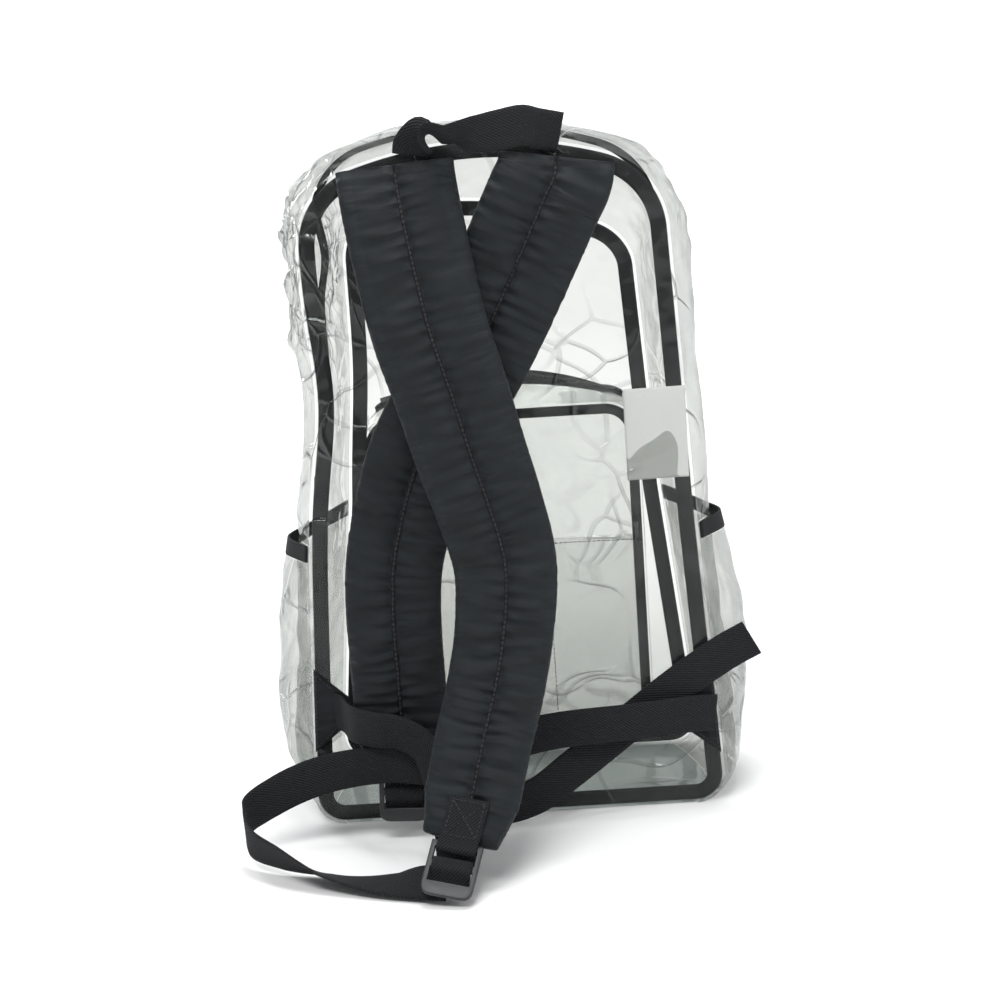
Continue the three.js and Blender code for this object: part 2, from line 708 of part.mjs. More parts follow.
// Three bars with two slots, and a rounded lip at the foot
function ladderLock(frame) {
  const inside = webbingWidth / 2 + 2 * clearance;
  const half = inside + lockThickness;
  const round = lipRounding * lipHeight;
  const shape = new THREE.Shape();
  shape.moveTo(-half, 0);
  shape.lineTo(-half, round - lockHeight);
  shape.quadraticCurveTo(-half, -lockHeight, round - half, -lockHeight);
  shape.lineTo(half - round, -lockHeight);
  shape.quadraticCurveTo(half, -lockHeight, half, round - lockHeight);
  shape.lineTo(half, 0);
  for (const high of [-lockBar, -2 * lockBar - slotHeight]) {
    const slot = new THREE.Path();
    slot.moveTo(-inside, high);
    slot.lineTo(inside, high);
    slot.lineTo(inside, high - slotHeight);
    slot.lineTo(-inside, high - slotHeight);
    shape.holes.push(slot);
  }
  const geometry = new THREE.ExtrudeGeometry(shape, {
    depth: lockThickness, bevelEnabled: false, curveSegments: 4 });
  geometry.translate(0, 0, -lockThickness / 2);
  const up = frame.down.clone().negate();
  const turn = new THREE.Matrix4().makeBasis(frame.across, up, frame.across.clone().cross(up));
  turn.setPosition(frame.origin);
  return geometry.applyMatrix4(turn);
}

// Stations straight through given points, for tight bends
function stationsThrough(path, blade) {
  return path.map((point, k) => {
    const before = path[Math.max(k - 1, 0)];
    const after = path[Math.min(k + 1, path.length - 1)];
    const tangent = after.clone().sub(before).normalize();
    return { point, blade, normal: tangent.clone().cross(blade).normalize() };
  });
}

// The strap's own webbing end: sewn on the strap's front and looped round the lock's top bar
function strapTab(route, frame) {
  const offset = strapThickness / 2 + webbingThickness / 2 + 3 * clearance;
  const path = strapStations(route).slice(-3).map(({ point, normal }) => point.clone()
    .addScaledVector(normal, Math.sign(normal.dot(frame.out)) * offset));
  const turnMiddle = lockBar - webbingThickness / 2;
  for (const angle of [0, 30, 60, 90, 120, 150, 180]) {
    const radians = (angle * Math.PI) / 180;
    const down = turnMiddle + besideLock * Math.sin(radians);
    path.push(lockPlace(frame, down, besideLock * Math.cos(radians)));
  }
  path.push(lockPlace(frame, 0, -besideLock));
  return ribbon(stationsThrough(path, frame.across));
}

function bladeOf(row) {
  return vec(row.blade[0], -row.blade[1], row.blade[2]);
}

const lockMiddle = 1.5 * lockBar + slotHeight; // lock's top edge to its middle bar's middle

// The webbing's way into a lock and round its middle bar, down from that bar's middle: bar and
// slot are shares of one bar's and one slot's height, out is a share of besideLock.
const lockApproach = [
  { bar: 0, slot: -0.7, out: -5.3 },
  { bar: 0, slot: -0.7, out: -2.1 },
];
const lockThreading = [
  { bar: 0, slot: -0.55, out: -0.27 },
  { bar: -0.7, slot: 0, out: 0.84 },
  { bar: 0, slot: 0, out: 1 },
  { bar: 0.7, slot: 0, out: 0.84 },
  { bar: 0, slot: 0.7, out: -0.27 },
  { bar: 0, slot: 1.15, out: -1 },
  { bar: 0, slot: 1.7, out: -1 },
];
const looseStart = { bar: 0, slot: 0.9, out: -1.65 };

function threadPlace(frame, { bar, slot, out }) {
  return lockPlace(frame, lockMiddle + bar * lockBar + slot * slotHeight, out * besideLock);
}

// Adjusting webbing: from its corner tab into the lock's upper slot from behind, over the
// middle bar and back through the lower slot
function fixedWebbing(route, frame) {
  const approach = lockApproach.map((row) => threadPlace(frame, row));
  const threaded = lockThreading.map((row) => threadPlace(frame, row));
  const before = smoothRoute(
    [...route.map(routePoint), ...approach],
    [...route.map(bladeOf), ...approach.map(() => frame.across)], fixedSteps);
  return ribbon([...before, ...stationsThrough(threaded, frame.across)]);
}

// The loose end of the webbing, from behind the lock's lip to its free end
function looseEnd(route, side, frame) {
  const points = [threadPlace(frame, looseStart), ...route.map(routePoint)];
  const blades = [frame.down.clone().multiplyScalar(-side), ...route.map(bladeOf)];
  return ribbon(smoothRoute(points, blades, looseSteps));
}

// Half width of the back seam at a height on the lower side wall
function seamHalfAt(height) {
  const t = (height - sideBandHeight) / (footRadius - sideBandHeight);
  return wallPoint(stops.band + (stops.footStart - stops.band) * t, 0).x;
}

// A flat piece lying on the back panel, from its corners as pairs of x and z
function patch(corners, thickness) {
  const seat = corners.map(([x, z]) => vec(x, backFace(x, z) - clearance, z));
  return loft([seat, seat.map((point) => vec(point.x, point.y - thickness, point.z))]);
}

// Triangular patch sewn in a lower back corner, under the webbing's fixed end
function cornerTab(side, route) {
  const z = route[0].up * bagHeight;
  const high = z + tabHeight / 2;
  const low = z - tabHeight / 2;
  const seam = (height) => side * (seamHalfAt(height) - vinyl);
  const point = seam(z) - side * tabReach;
  return patch([
    [seam(high), high], [seam(low), low],
    [point, z - webbingWidth / 3], [point, z + webbingWidth / 3]], tabThickness);
}

// A slider with its pull, lying along a zipper, as shares of its own width
const sliderRows = [
  { along: 0, half: 0.4, high: 0.28 },
  { along: 0.3, half: 0.5, high: 0.42 },
  { along: 1, half: 0.5, high: 0.42 },
  { along: 1.2, half: 0.3, high: 0.22 },
  { along: 4, half: 0.35, high: 0.22 },
];

function slider(point, along, normal) {
  const across = along.clone().cross(normal).normalize();
  const seat = point.clone().addScaledVector(normal, zipperCoil + clearance);
  return loft(sliderRows.map((row) => {
    const base = seat.clone().addScaledVector(along, row.along * sliderWidth);
    const corner = (side, up) => base.clone().addScaledVector(across, side * row.half * sliderWidth)
      .addScaledVector(normal, up * row.high * sliderWidth);
    return [corner(-1, 0), corner(1, 0), corner(1, 1), corner(-1, 1)];
  }));
}

function bottomPanel() {
  const outer = [];
  const inner = [];
  for (let row = 0; row <= 4; row += 1) {
    const half = wallPoint(stops.footEnd, row / 4).x - clearance;
    const line = [-1, -0.5, 0, 0.5, 1].map((t) => vec(t * half, backY + (bagDepth * row) / 4, 0));
    outer.push(line);
    inner.push(line.map((point) => vec(point.x, point.y, vinyl)));
  }
  return sheet(outer, inner);
}

function careLabel() {
  const low = 0.5 * bagHeight;
  const right = wallPoint((stops.band + stops.cornerEnd) / 2, 0).x;
  return patch([
    [right - labelWidth, low], [right, low], [right, low + labelHeight],
    [right - labelWidth, low + labelHeight]], labelThickness);
}

const group = new THREE.Group();
function add(name, geometry, finish) {
  const mesh = new THREE.Mesh(geometry, new THREE.MeshStandardMaterial({ metalness: 0, ...finish }));
  mesh.name = name;
  group.add(mesh);
}

const panelInset = vinyl + 2 * clearance;
const placeGap = clearance / bagHeight; // a clearance along the outline, as a share of it
const lowerRun = [stops.band + 2 * placeGap, ...lowerSide.slice(1), ...footRun];

add('back_panel', panel(seamOutline(0, panelInset), backFace, vinyl), colours.vinyl);
add('front_panel', panel(seamOutline(1, panelInset), (x, z) => frontFace(x, z) - vinyl, vinyl),
  colours.vinyl);
add('back_gusset', wallStrip(mirrored(topRun), 0, zipperFrom, 4), colours.vinyl);
add('front_gusset', wallStrip(mirrored(topRun), zipperTo, 1, 4), colours.vinyl);
add('main_zipper', mainZipper(), colours.zipper);
add('bottom_panel', bottomPanel(), colours.vinyl);
add('back_binding', seamBinding(0, 1, vinyl + clearance), colours.binding);
add('front_binding', seamBinding(1, -1, vinyl + clearance), colours.binding);

for (const [side, name] of [[-1, 'left'], [1, 'right']]) {
  const run = lowerRun.map((place) => side * place);
  const edge = stops.band + ((stops.footStart - stops.band) * sideBindingHeight)
    / (sideBandHeight - footRadius);
  const places = [edge + 2 * placeGap, ...lowerSide.slice(1), stops.footStart];
  add(`${name}_side_panel`, wallStrip(run, 0, 1, depthRows), colours.vinyl);
  add(`${name}_side_pocket`, sidePocketSheet(side, places, vinyl), colours.vinyl);
  add(`${name}_side_pocket_binding`, sidePocketSheet(side, [stops.band, edge], bindingThickness),
    colours.binding);
}

add('front_pocket_panel', pocketPanel(), colours.vinyl);
add('front_pocket_gusset', pocketGusset(), colours.vinyl);
add('front_pocket_base', pocketBase(), colours.vinyl);
add('front_pocket_zipper', pocketZipper(), colours.zipper);
add('front_pocket_binding', pocketBinding(), colours.binding);
add('front_pocket_organizer', organizer(), colours.vinyl);

const leftStrap = { route: leftStrapRoute, fixedRun: leftFixedRun, tail: leftTail, tilt: 0.35 };
const rightStrap = { route: rightStrapRoute, fixedRun: rightFixedRun, tail: rightTail, tilt: 0.05 };
for (const [name, side, strap] of [['left', -1, leftStrap], ['right', 1, rightStrap]]) {
  const { route, fixedRun, tail, tilt } = strap;
  const frame = lockFrame(route, tilt);
  add(`${name}_strap`, paddedStrap(route), colours.strap);
  add(`${name}_strap_tab`, strapTab(route, frame), colours.webbing);
  add(`${name}_ladder_lock`, ladderLock(frame), colours.plastic);
  add(`${name}_corner_tab`, cornerTab(side, fixedRun), colours.webbing);
  add(`${name}_webbing`, fixedWebbing(fixedRun, frame), colours.webbing);
  add(`${name}_webbing_end`, looseEnd(tail, side, frame), colours.webbing);
}

const handleStations = smoothRoute(handleRoute.map(routePoint), handleRoute.map(bladeOf), 22);
add('grab_handle', ribbon(handleStations), colours.webbing);
add('care_label', careLabel(), colours.label);

const mainSliderPlace = 0.04 - stops.band;
const mainSliderSeat = wallPoint(mainSliderPlace, zipperMiddle);
const mainSliderAlong = wallPoint(-stops.band, zipperMiddle).sub(mainSliderSeat).normalize();
add('main_zipper_slider', slider(
  mainSliderSeat, mainSliderAlong, wallNormal(mainSliderPlace, zipperMiddle)), colours.plastic);

const pocketMiddle = (1 + pocketZipperShare) / 2;
const pocketSliderAt = archEnd - 4;
const pocketSliderSeat = pocketPoint(pocketSliderAt, pocketMiddle);
const pocketSliderAlong = pocketPoint(pocketSliderAt + 1, pocketMiddle)
  .sub(pocketPoint(pocketSliderAt - 1, pocketMiddle)).normalize();
add('front_pocket_slider', slider(
  pocketSliderSeat, pocketSliderAlong, pocketNormal(pocketSliderAt, 1)), colours.plastic);

export default group;
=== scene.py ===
"""Looks of the clear backpack: creased vinyl, woven bindings, zippers, quilted straps and webbing.

Lengths in the tables and shape functions are millimetres, in the part's own frame. Meshes are made
in metres by build_mesh().
"""

import math

import bpy
import numpy as np
from mathutils import Matrix, Vector, noise


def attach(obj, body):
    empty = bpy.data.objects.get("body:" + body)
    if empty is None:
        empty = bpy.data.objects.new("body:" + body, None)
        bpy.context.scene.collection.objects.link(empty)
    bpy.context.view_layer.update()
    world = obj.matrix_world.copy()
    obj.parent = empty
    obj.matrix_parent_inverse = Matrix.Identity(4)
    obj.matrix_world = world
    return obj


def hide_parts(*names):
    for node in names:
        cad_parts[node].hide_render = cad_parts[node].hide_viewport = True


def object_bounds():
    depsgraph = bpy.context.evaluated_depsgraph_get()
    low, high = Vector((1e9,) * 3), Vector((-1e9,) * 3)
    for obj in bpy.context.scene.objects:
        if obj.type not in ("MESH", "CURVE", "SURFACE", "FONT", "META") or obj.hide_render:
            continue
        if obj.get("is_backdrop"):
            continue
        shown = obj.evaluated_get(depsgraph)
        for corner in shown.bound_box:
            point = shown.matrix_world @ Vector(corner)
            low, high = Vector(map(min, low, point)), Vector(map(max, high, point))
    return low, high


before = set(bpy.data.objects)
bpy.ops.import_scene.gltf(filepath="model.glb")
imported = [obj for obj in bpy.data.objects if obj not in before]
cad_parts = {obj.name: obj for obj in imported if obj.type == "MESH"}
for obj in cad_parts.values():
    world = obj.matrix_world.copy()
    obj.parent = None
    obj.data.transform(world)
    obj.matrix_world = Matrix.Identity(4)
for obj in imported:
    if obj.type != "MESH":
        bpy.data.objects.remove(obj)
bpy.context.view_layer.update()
scene = bpy.context.scene

CAMERA_TURN = math.radians(1.6)
CAMERA_PITCH = math.radians(13.0)
CAMERA_ROLL = math.radians(4.0)
CAMERA_TARGET = np.array([0.0, -0.062, 0.217])
CAMERA_DISTANCE = 1.4
CAMERA_LENS = 77.4


def make_camera():
    turn, pitch, roll = CAMERA_TURN, CAMERA_PITCH, CAMERA_ROLL
    level = math.cos(pitch)
    forward = np.array([-math.sin(turn) * level, math.cos(turn) * level, -math.sin(pitch)])
    right = np.array([math.cos(turn), math.sin(turn), 0.0])
    up = np.cross(right, forward)
    image_x = right * math.cos(roll) - up * math.sin(roll)
    image_y = right * math.sin(roll) + up * math.cos(roll)
    eye = CAMERA_TARGET - forward * CAMERA_DISTANCE
    data = bpy.data.cameras.new("camera")
    data.lens = CAMERA_LENS
    data.sensor_width = 36.0
    data.clip_end = 50.0
    camera = bpy.data.objects.new("camera", data)
    rows = [[image_x[i], image_y[i], -forward[i], eye[i]] for i in range(3)] + [[0, 0, 0, 1]]
    camera.matrix_world = Matrix(rows)
    scene.collection.objects.link(camera)
    scene.camera = camera


make_camera()

BAG_WIDTH, BAG_HEIGHT, BAG_DEPTH = 276.0, 450.0, 124.0
VINYL, GAP = 1.2, 0.3
MM = 0.001
GATHER_PITCH = 9.2
PANEL_RIM = 0.12
CRUMPLED_CORNER = (-0.145, -0.03, 0.375)
BACK_SWELL, FRONT_SWELL = 3.0, 5.0
CORNER, CROWN, FOOT, BAND = 56.0, 12.0, 20.0, 194.0
BINDING_WIDTH, BINDING_THICK = 10.0, 1.6
TAPE, COIL = 1.1, 1.6
SIDE_BINDING, SIDE_SWELL, SWELL_CUT = 11.0, 15.0, 0.82
POCKET_WIDTH, POCKET_HEIGHT, POCKET_DEPTH = 196.0, 254.0, 24.0
POCKET_CROWN, POCKET_RISE, POCKET_CORNER = 15.0, 8.0, 24.0
POCKET_ZIPPER, POCKET_BINDING = 9.0, 7.0
ORGANIZER_HEIGHT = 142.0
STRAP_WIDTH, STRAP_THICK, STRAP_REACH = 72.0, 13.0, 130.0
WEB_WIDTH, WEB_THICK = 25.0, 1.6
LOCK_HEIGHT, LOCK_THICK, LOCK_BAR, LOCK_DROP, LOCK_FORWARD = 36.0, 3.2, 4.5, 3.0, 4.0
LABEL_WIDTH, LABEL_HEIGHT, LABEL_THICK = 40.0, 60.0, 0.5
TAB_REACH, TAB_HEIGHT, TAB_THICK = 24.0, 58.0, 1.2
BACK_Y, FRONT_Y = -BAG_DEPTH / 2, BAG_DEPTH / 2
FRONT_DROOP, CROWN_REACH, SEAM_HOLD = 16.0, 0.7, 0.6
ZIP_FROM, ZIP_TO = 0.48, 0.56
BAG_MIDDLE, POCKET_MIDDLE = 215.0, 120.0
TOP_END, CORNER_END, BAND_STOP, FOOT_START, FOOT_END = 0.22, 0.38, 0.62, 0.84, 0.91

SECTION_AT = [0.0, 0.25, 0.52, 0.78, 1.0]
SECTIONS = {
    "top": [0.865, 0.945, 0.815, 0.765, 0.735],
    "band": [0.925, 0.995, 0.905, 0.84, 0.8],
    "foot": [1.0, 1.075, 1.06, 1.0, 0.93],
    "height": [1.0, 1.021, 1.01, 0.965, 0.893],
    "corner": [1.0, 1.08, 0.9, 0.75, 0.65],
}
# side, height, spread, push, seam
WALL_BENDS = [
    (-1, 0.64, 0.13, -0.07, 1), (-1, 0.83, 0.05, -0.05, 0), (-1, 0.1, 0.14, 0.06, 0),
    (1, 0.7, 0.16, 0.03, 0), (1, 0.24, 0.1, 0.03, 0)]

SEWN, SEWN_END = 0.6, 0.04
WEB_SEAT = (WEB_THICK / 2 + 3 * GAP) / STRAP_REACH
TAB_SEAT = (TAB_THICK + WEB_THICK / 2 + 4 * GAP) / STRAP_REACH
STRAP_SEAT = (SEWN * STRAP_THICK / 2 + 5 * GAP) / STRAP_REACH
# across, out, up, width
LEFT_STRAP = [
    (-0.372, STRAP_SEAT, 0.972, 1.04), (-0.366, 0.07, 0.945, 1.04), (-0.336, 0.15, 0.88, 1.04),
    (-0.258, 0.25, 0.746, 1.02), (-0.184, 0.29, 0.664, 1.0), (-0.105, 0.33, 0.568, 0.98),
    (-0.046, 0.36, 0.504, 0.95), (0.013, 0.4, 0.417, 0.91), (-0.012, 0.475, 0.323, 0.87),
    (-0.069, 0.57, 0.247, 0.86), (-0.13, 0.67, 0.189, 0.85), (-0.198, 0.81, 0.118, 0.84),
    (-0.262, 0.923, 0.067, 0.66)]
RIGHT_STRAP = [
    (0.366, STRAP_SEAT, 0.968, 1.02), (0.35, 0.07, 0.943, 1.02), (0.3, 0.085, 0.915, 1.02),
    (0.219, 0.092, 0.867, 1.02), (0.035, 0.092, 0.757, 1.0), (-0.111, 0.1, 0.679, 0.98),
    (-0.22, 0.11, 0.63, 0.96), (-0.352, 0.13, 0.56, 0.94), (-0.44, 0.15, 0.491, 0.9),
    (-0.511, 0.18, 0.406, 0.87), (-0.528, 0.21, 0.345, 0.86), (-0.53, 0.23, 0.286, 0.85),
    (-0.528, 0.243, 0.22, 0.85), (-0.53, 0.25, 0.158, 0.84), (-0.536, 0.25, 0.118, 0.66)]
# across, out, up, blade across, blade out, blade up
LEFT_RUN = [
    (-0.86, TAB_SEAT, 0.18, 0, 0, 1), (-0.82, 0.1, 0.182, 0, 0, 1), (-0.76, 0.29, 0.184, 0, 0, 1),
    (-0.66, 0.37, 0.182, 0, 0.1, 1), (-0.53, 0.41, 0.178, 0, 0.2, 1), (-0.42, 0.47, 0.16, 0.3, 0.2, 1),
    (-0.33, 0.6, 0.1, 0.8, 0.1, 0.5), (-0.29, 0.77, 0.06, 1, 0, 0.1)]
LEFT_TAIL = [
    (-0.46, 0.99, 0.02, 0, 1, -0.5), (-0.58, 0.94, 0.014, 0, 1, -0.1), (-0.72, 0.88, 0.012, 0.1, 1, 0.1),
    (-0.9, 0.8, 0.017, 0, 1, 0.35), (-1.1, 0.7, 0.033, 0, 0.7, 1), (-1.26, 0.55, 0.046, 0, 0.2, 1),
    (-1.27, 0.4, 0.066, 0, 0, 1), (-1.13, 0.32, 0.088, 0, -0.1, 1), (-0.95, 0.3, 0.108, 0, -0.2, 1),
    (-0.77, 0.318, 0.12, 0, -0.1, 1), (-0.6, 0.335, 0.124, 0, 0, 1), (-0.42, 0.36, 0.12, 0, 0, 1),
    (-0.26, 0.37, 0.118, 0, 0, 1)]
RIGHT_RUN = [
    (0.965, TAB_SEAT, 0.142, 0, 0, 1), (0.88, 0.06, 0.146, 0, 0, 1), (0.6, 0.135, 0.147, 0, 0, 1),
    (0.137, 0.18, 0.142, 0, 0, 1), (-0.1, 0.165, 0.122, 0, 0, 1), (-0.3, 0.12, 0.09, 0.3, 0, 1),
    (-0.45, 0.1, 0.08, 0.8, 0, 0.8)]
RIGHT_TAIL = [
    (-0.38, 0.215, 0.055, 0, 0, 1), (-0.25, 0.225, 0.045, 0, 0, 1), (-0.1, 0.235, 0.038, 0, 0, 1),
    (0.08, 0.19, 0.047, -0.3, 0, 1), (0.263, 0.115, 0.078, -0.6, 0, 1), (0.55, 0.05, 0.137, -0.6, 0, 1),
    (0.801, 0.035, 0.192, -0.6, 0, 1), (1.021, 0.045, 0.236, -0.55, 0, 1), (1.151, 0.055, 0.257, -0.5, 0, 1)]
HANDLE = [
    (-0.29, WEB_SEAT, 0.983, 1, 0, 0), (-0.28, 0.025, 0.998, 1, 0.1, 0.1),
    (-0.21, 0.08, 1.013, 0.8, 0.8, 0.2), (-0.11, 0.125, 1.01, 0.1, 1, 0.5),
    (0.0, 0.15, 1.008, 0, 0.4, 1), (0.11, 0.15, 1.012, -0.2, 0.1, 1),
    (0.22, 0.115, 1.016, -0.1, 0, 1), (0.29, 0.05, 1.009, 0, 0, 1), (0.35, WEB_SEAT, 1.004, 0, 0, 1),
    (0.39, WEB_SEAT, 1.001, 0, 0, 1)]


def section(column, share):
    values = SECTIONS[column]
    row = 0
    while row < len(values) - 2 and share > SECTION_AT[row + 1]:
        row += 1
    back, ahead = max(row - 1, 0), min(row + 2, len(values) - 1)
    length = SECTION_AT[row + 1] - SECTION_AT[row]
    t = (share - SECTION_AT[row]) / length
    leave = (values[row + 1] - values[back]) / (SECTION_AT[row + 1] - SECTION_AT[back]) * length
    arrive = (values[ahead] - values[row]) / (SECTION_AT[ahead] - SECTION_AT[row]) * length
    ease = t * t * (3 - 2 * t)
    return (values[row] * (1 - ease) + values[row + 1] * ease
            + t * (1 - t) ** 2 * leave - t * t * (1 - t) * arrive)


def wall_row(rounds, share, inset=0.0):
    """Points of the bag's outer surface at one share of the depth, for an array of places round it."""
    rounds = np.asarray(rounds, float)
    side = np.where(rounds < 0, -1.0, 1.0)
    place = np.abs(rounds)
    half_foot = section("foot", share) * BAG_WIDTH / 2 - inset
    half_band = section("band", share) * BAG_WIDTH / 2 - inset
    half_top = section("top", share) * BAG_WIDTH / 2 - inset
    top = section("height", share) * BAG_HEIGHT - inset
    radius = section("corner", share) * CORNER - inset
    foot = FOOT - inset
    lean = math.atan(2 * CROWN / (half_top - CROWN_REACH * radius))
    crown_half = half_top - radius + radius * math.sin(lean)
    corner_z = top - CROWN - radius * math.cos(lean)
    t1 = place / TOP_END
    a2 = lean + (place - TOP_END) / (CORNER_END - TOP_END) * (math.pi / 2 - lean)
    t3 = (place - CORNER_END) / (BAND_STOP - CORNER_END)
    t4 = (place - BAND_STOP) / (FOOT_START - BAND_STOP)
    a5 = (place - FOOT_START) / (FOOT_END - FOOT_START) * math.pi / 2
    parts = [place <= stop for stop in (TOP_END, CORNER_END, BAND_STOP, FOOT_START, FOOT_END)]
    x = np.select(parts, [
        crown_half * t1, half_top - radius + radius * np.sin(a2), half_top + (half_band - half_top) * t3,
        half_band + (half_foot - half_band) * t4, half_foot - foot + foot * np.cos(a5)],
        (half_foot - foot) * (1 - place) / (1 - FOOT_END))
    z = np.select(parts, [
        top - CROWN * t1 * t1, corner_z + radius * np.cos(a2), corner_z + (BAND - corner_z) * t3,
        BAND + (FOOT - BAND) * t4, FOOT - foot * np.sin(a5)], inset)
    free = math.sin(math.pi * share)
    push = np.zeros_like(x)
    for bend_side, height, spread, amount, seam in WALL_BENDS:
        away = (z / BAG_HEIGHT - height) / spread
        hold = 1 - SEAM_HOLD * share if seam else free
        push += np.where(side == bend_side, amount * BAG_DEPTH * hold * np.exp(-away * away), 0)
    fade = np.clip((z - FOOT) / FOOT, 0, 1)
    sag = FRONT_DROOP * share * share * side * x * (z / BAG_HEIGHT) ** 3 / half_top
    y = np.full_like(x, BACK_Y + share * BAG_DEPTH)
    return np.stack([side * x + fade * side * push, y, z - sag], -1)


def swell(x, z, share):
    across = 2 * x / (BAG_WIDTH * section("band", share))
    up = 2 * z / (BAG_HEIGHT * section("height", share)) - 1
    return np.maximum(0, 1 - across ** 2) * np.maximum(0, 1 - up ** 2)


def back_face(x, z):
    return BACK_Y - BACK_SWELL * swell(x, z, 0)


def front_face(x, z):
    return FRONT_Y + FRONT_SWELL * swell(x, z, 1)


def build_mesh(name, points, uv, material, ring=False, caps=False):
    """A mesh from a grid of points (rows, columns, 3). With ring the columns close on themselves."""
    rows, columns = points.shape[:2]
    quads = []
    last = columns if ring else columns - 1
    for row in range(rows - 1):
        for column in range(last):
            ahead = (column + 1) % columns
            a, b = row * columns + column, row * columns + ahead
            quads.append((a, b, b + columns, a + columns))
    flat_uv = uv.reshape(-1, 2)
    loop_uv = []
    for row in range(rows - 1):
        for column in range(last):
            a = row * columns + column
            b = a + 1 if column + 1 < columns else None
            start, end = flat_uv[a], flat_uv[a + columns]
            if b is None:
                side = 2 * flat_uv[a] - flat_uv[a - 1]
                side_end = 2 * flat_uv[a + columns] - flat_uv[a + columns - 1]
            else:
                side, side_end = flat_uv[b], flat_uv[b + columns]
            loop_uv.extend((start, side, side_end, end))
    if caps:
        for base in (0, (rows - 1) * columns):
            face = [base + k for k in range(columns)]
            if base == 0:
                face.reverse()
            quads.append(tuple(face))
            loop_uv.extend(flat_uv[k] for k in face)
    mesh = bpy.data.meshes.new(name)
    mesh.from_pydata([tuple(p * MM) for p in points.reshape(-1, 3)], [], quads)
    layer = mesh.uv_layers.new(name="UVMap")
    layer.data.foreach_set("uv", np.array(loop_uv, np.float32).ravel())
    mesh.materials.append(material)
    mesh.shade_smooth()
    mesh.update()
    piece = bpy.data.objects.new(name, mesh)
    scene.collection.objects.link(piece)
    return piece


def grid_normals(points, outward):
    along = np.gradient(points, axis=0)
    across = np.gradient(points, axis=1)
    normals = np.cross(along, across)
    normals /= np.linalg.norm(normals, axis=-1, keepdims=True) + 1e-9
    flip = np.sign(np.sum(normals * outward, axis=-1, keepdims=True))
    flip[flip == 0] = 1
    return normals * flip


def grid_lengths(points):
    """uv in millimetres along both directions of a grid."""
    rows, columns = points.shape[:2]
    u = np.zeros((rows, columns))
    v = np.zeros((rows, columns))
    v[1:] = np.cumsum(np.linalg.norm(np.diff(points, axis=0), axis=-1), axis=0)
    u[:, 1:] = np.cumsum(np.linalg.norm(np.diff(points, axis=1), axis=-1), axis=1)
    return np.stack([u, v], -1)


# Folds in the vinyl: two ends, depth (outwards positive) and half width, in millimetres
FOLDS = [
    ((-118, -62, 330), (-70, -62, 250), -2.4, 7), ((-112, -62, 380), (-60, -62, 330), 1.8, 6),
    ((118, -62, 345), (70, -62, 300), 1.6, 8), ((60, -62, 400), (112, -62, 390), -1.5, 6),
    ((40, -62, 210), (128, -62, 250), 1.4, 9), ((45, -62, 330), (60, -62, 180), -1.2, 10),
    ((-120, -62, 110), (-60, -62, 150), 1.6, 8), ((120, -62, 60), (60, -62, 110), -1.8, 8),
    ((-90, 62, 330), (-20, 62, 300), 1.8, 9), ((90, 62, 320), (30, 62, 280), -1.6, 8),
    ((-60, 88, 210), (60, 88, 240), 1.4, 8), ((70, 88, 60), (10, 88, 130), -1.6, 9),
    ((-80, 88, 60), (-30, 88, 110), 1.5, 8), ((-20, 88, 180), (40, 88, 90), 1.0, 10),
    ((-128, -40, 370), (-118, 30, 340), -3.2, 7), ((-126, -50, 350), (-112, 40, 372), 3.0, 6),
    ((-128, -45, 335), (-112, 10, 310), 2.6, 7), ((-132, -30, 290), (-118, 40, 300), -2.4, 8),
    ((126, -50, 360), (112, 30, 330), 1.8, 8), ((132, -45, 300), (116, 20, 310), -1.8, 8),
    ((60, -30, 455), (95, 20, 430), -2.0, 8), ((-40, -30, 458), (-90, 20, 440), 2.2, 8),
    ((10, -40, 460), (40, 30, 452), 1.6, 9), ((-140, -30, 150), (-136, 30, 90), 1.8, 8),
    ((146, -40, 120), (136, 30, 150), -1.8, 9), ((148, -30, 60), (140, 30, 90), 1.6, 8),
    ((-150, -20, 60), (-142, 30, 40), -1.8, 8)]


def fold_height(p):
    total = 0.0
    for start, end, depth, half in FOLDS:
        a, b = np.array(start, float), np.array(end, float)
        line = b - a
        t = min(max(np.dot(p - a, line) / np.dot(line, line), 0.0), 1.0)
        away = np.linalg.norm(p - a - t * line)
        if away < 3 * half:
            ends = math.sin(math.pi * min(max(0.08 + 0.84 * t, 0), 1)) ** 0.5
            total += depth * ends * math.exp(-1.1 * away / half)
    return total


def crumple(p):
    """How crumpled the vinyl is at a place, 0 to 1: most at the upper left side."""
    left = math.exp(-((p[0] + 122) / 34) ** 2 - ((p[2] - 372) / 62) ** 2)
    right = 0.45 * math.exp(-((p[0] - 118) / 30) ** 2 - ((p[2] - 395) / 45) ** 2)
    low = 0.35 * math.exp(-((abs(p[0]) - 140) / 30) ** 2 - ((p[2] - 100) / 90) ** 2)
    return min(left + right + low, 1.0)


def vinyl_height(p, lively):
    q = Vector(p) * MM
    broad = noise.noise(q * 11 + Vector((3.1, 7.7, 1.3)))
    middle = noise.noise(q * 31 + Vector((9.4, 2.2, 5.8)))
    cells = noise.voronoi(q * 46 + Vector((1.7, 4.4, 8.8)))[0]
    facets = (cells[1] - cells[0]) - 0.3
    much = crumple(p)
    sharp = 1 - 2.2 * abs(noise.noise(q * 24 + Vector((6.6, 1.2, 4.9))))
    return (lively * (1.6 * broad + (0.6 + 1.4 * much) * middle + much * (7.0 * facets + 3.2 * sharp))
            + 1.4 * fold_height(np.array(p)))


def away_from(points, height):
    """Directions across the depth, away from the line through x = 0 and a height."""
    return points * np.array([1, 0, 1]) - np.array([0, 0, height])


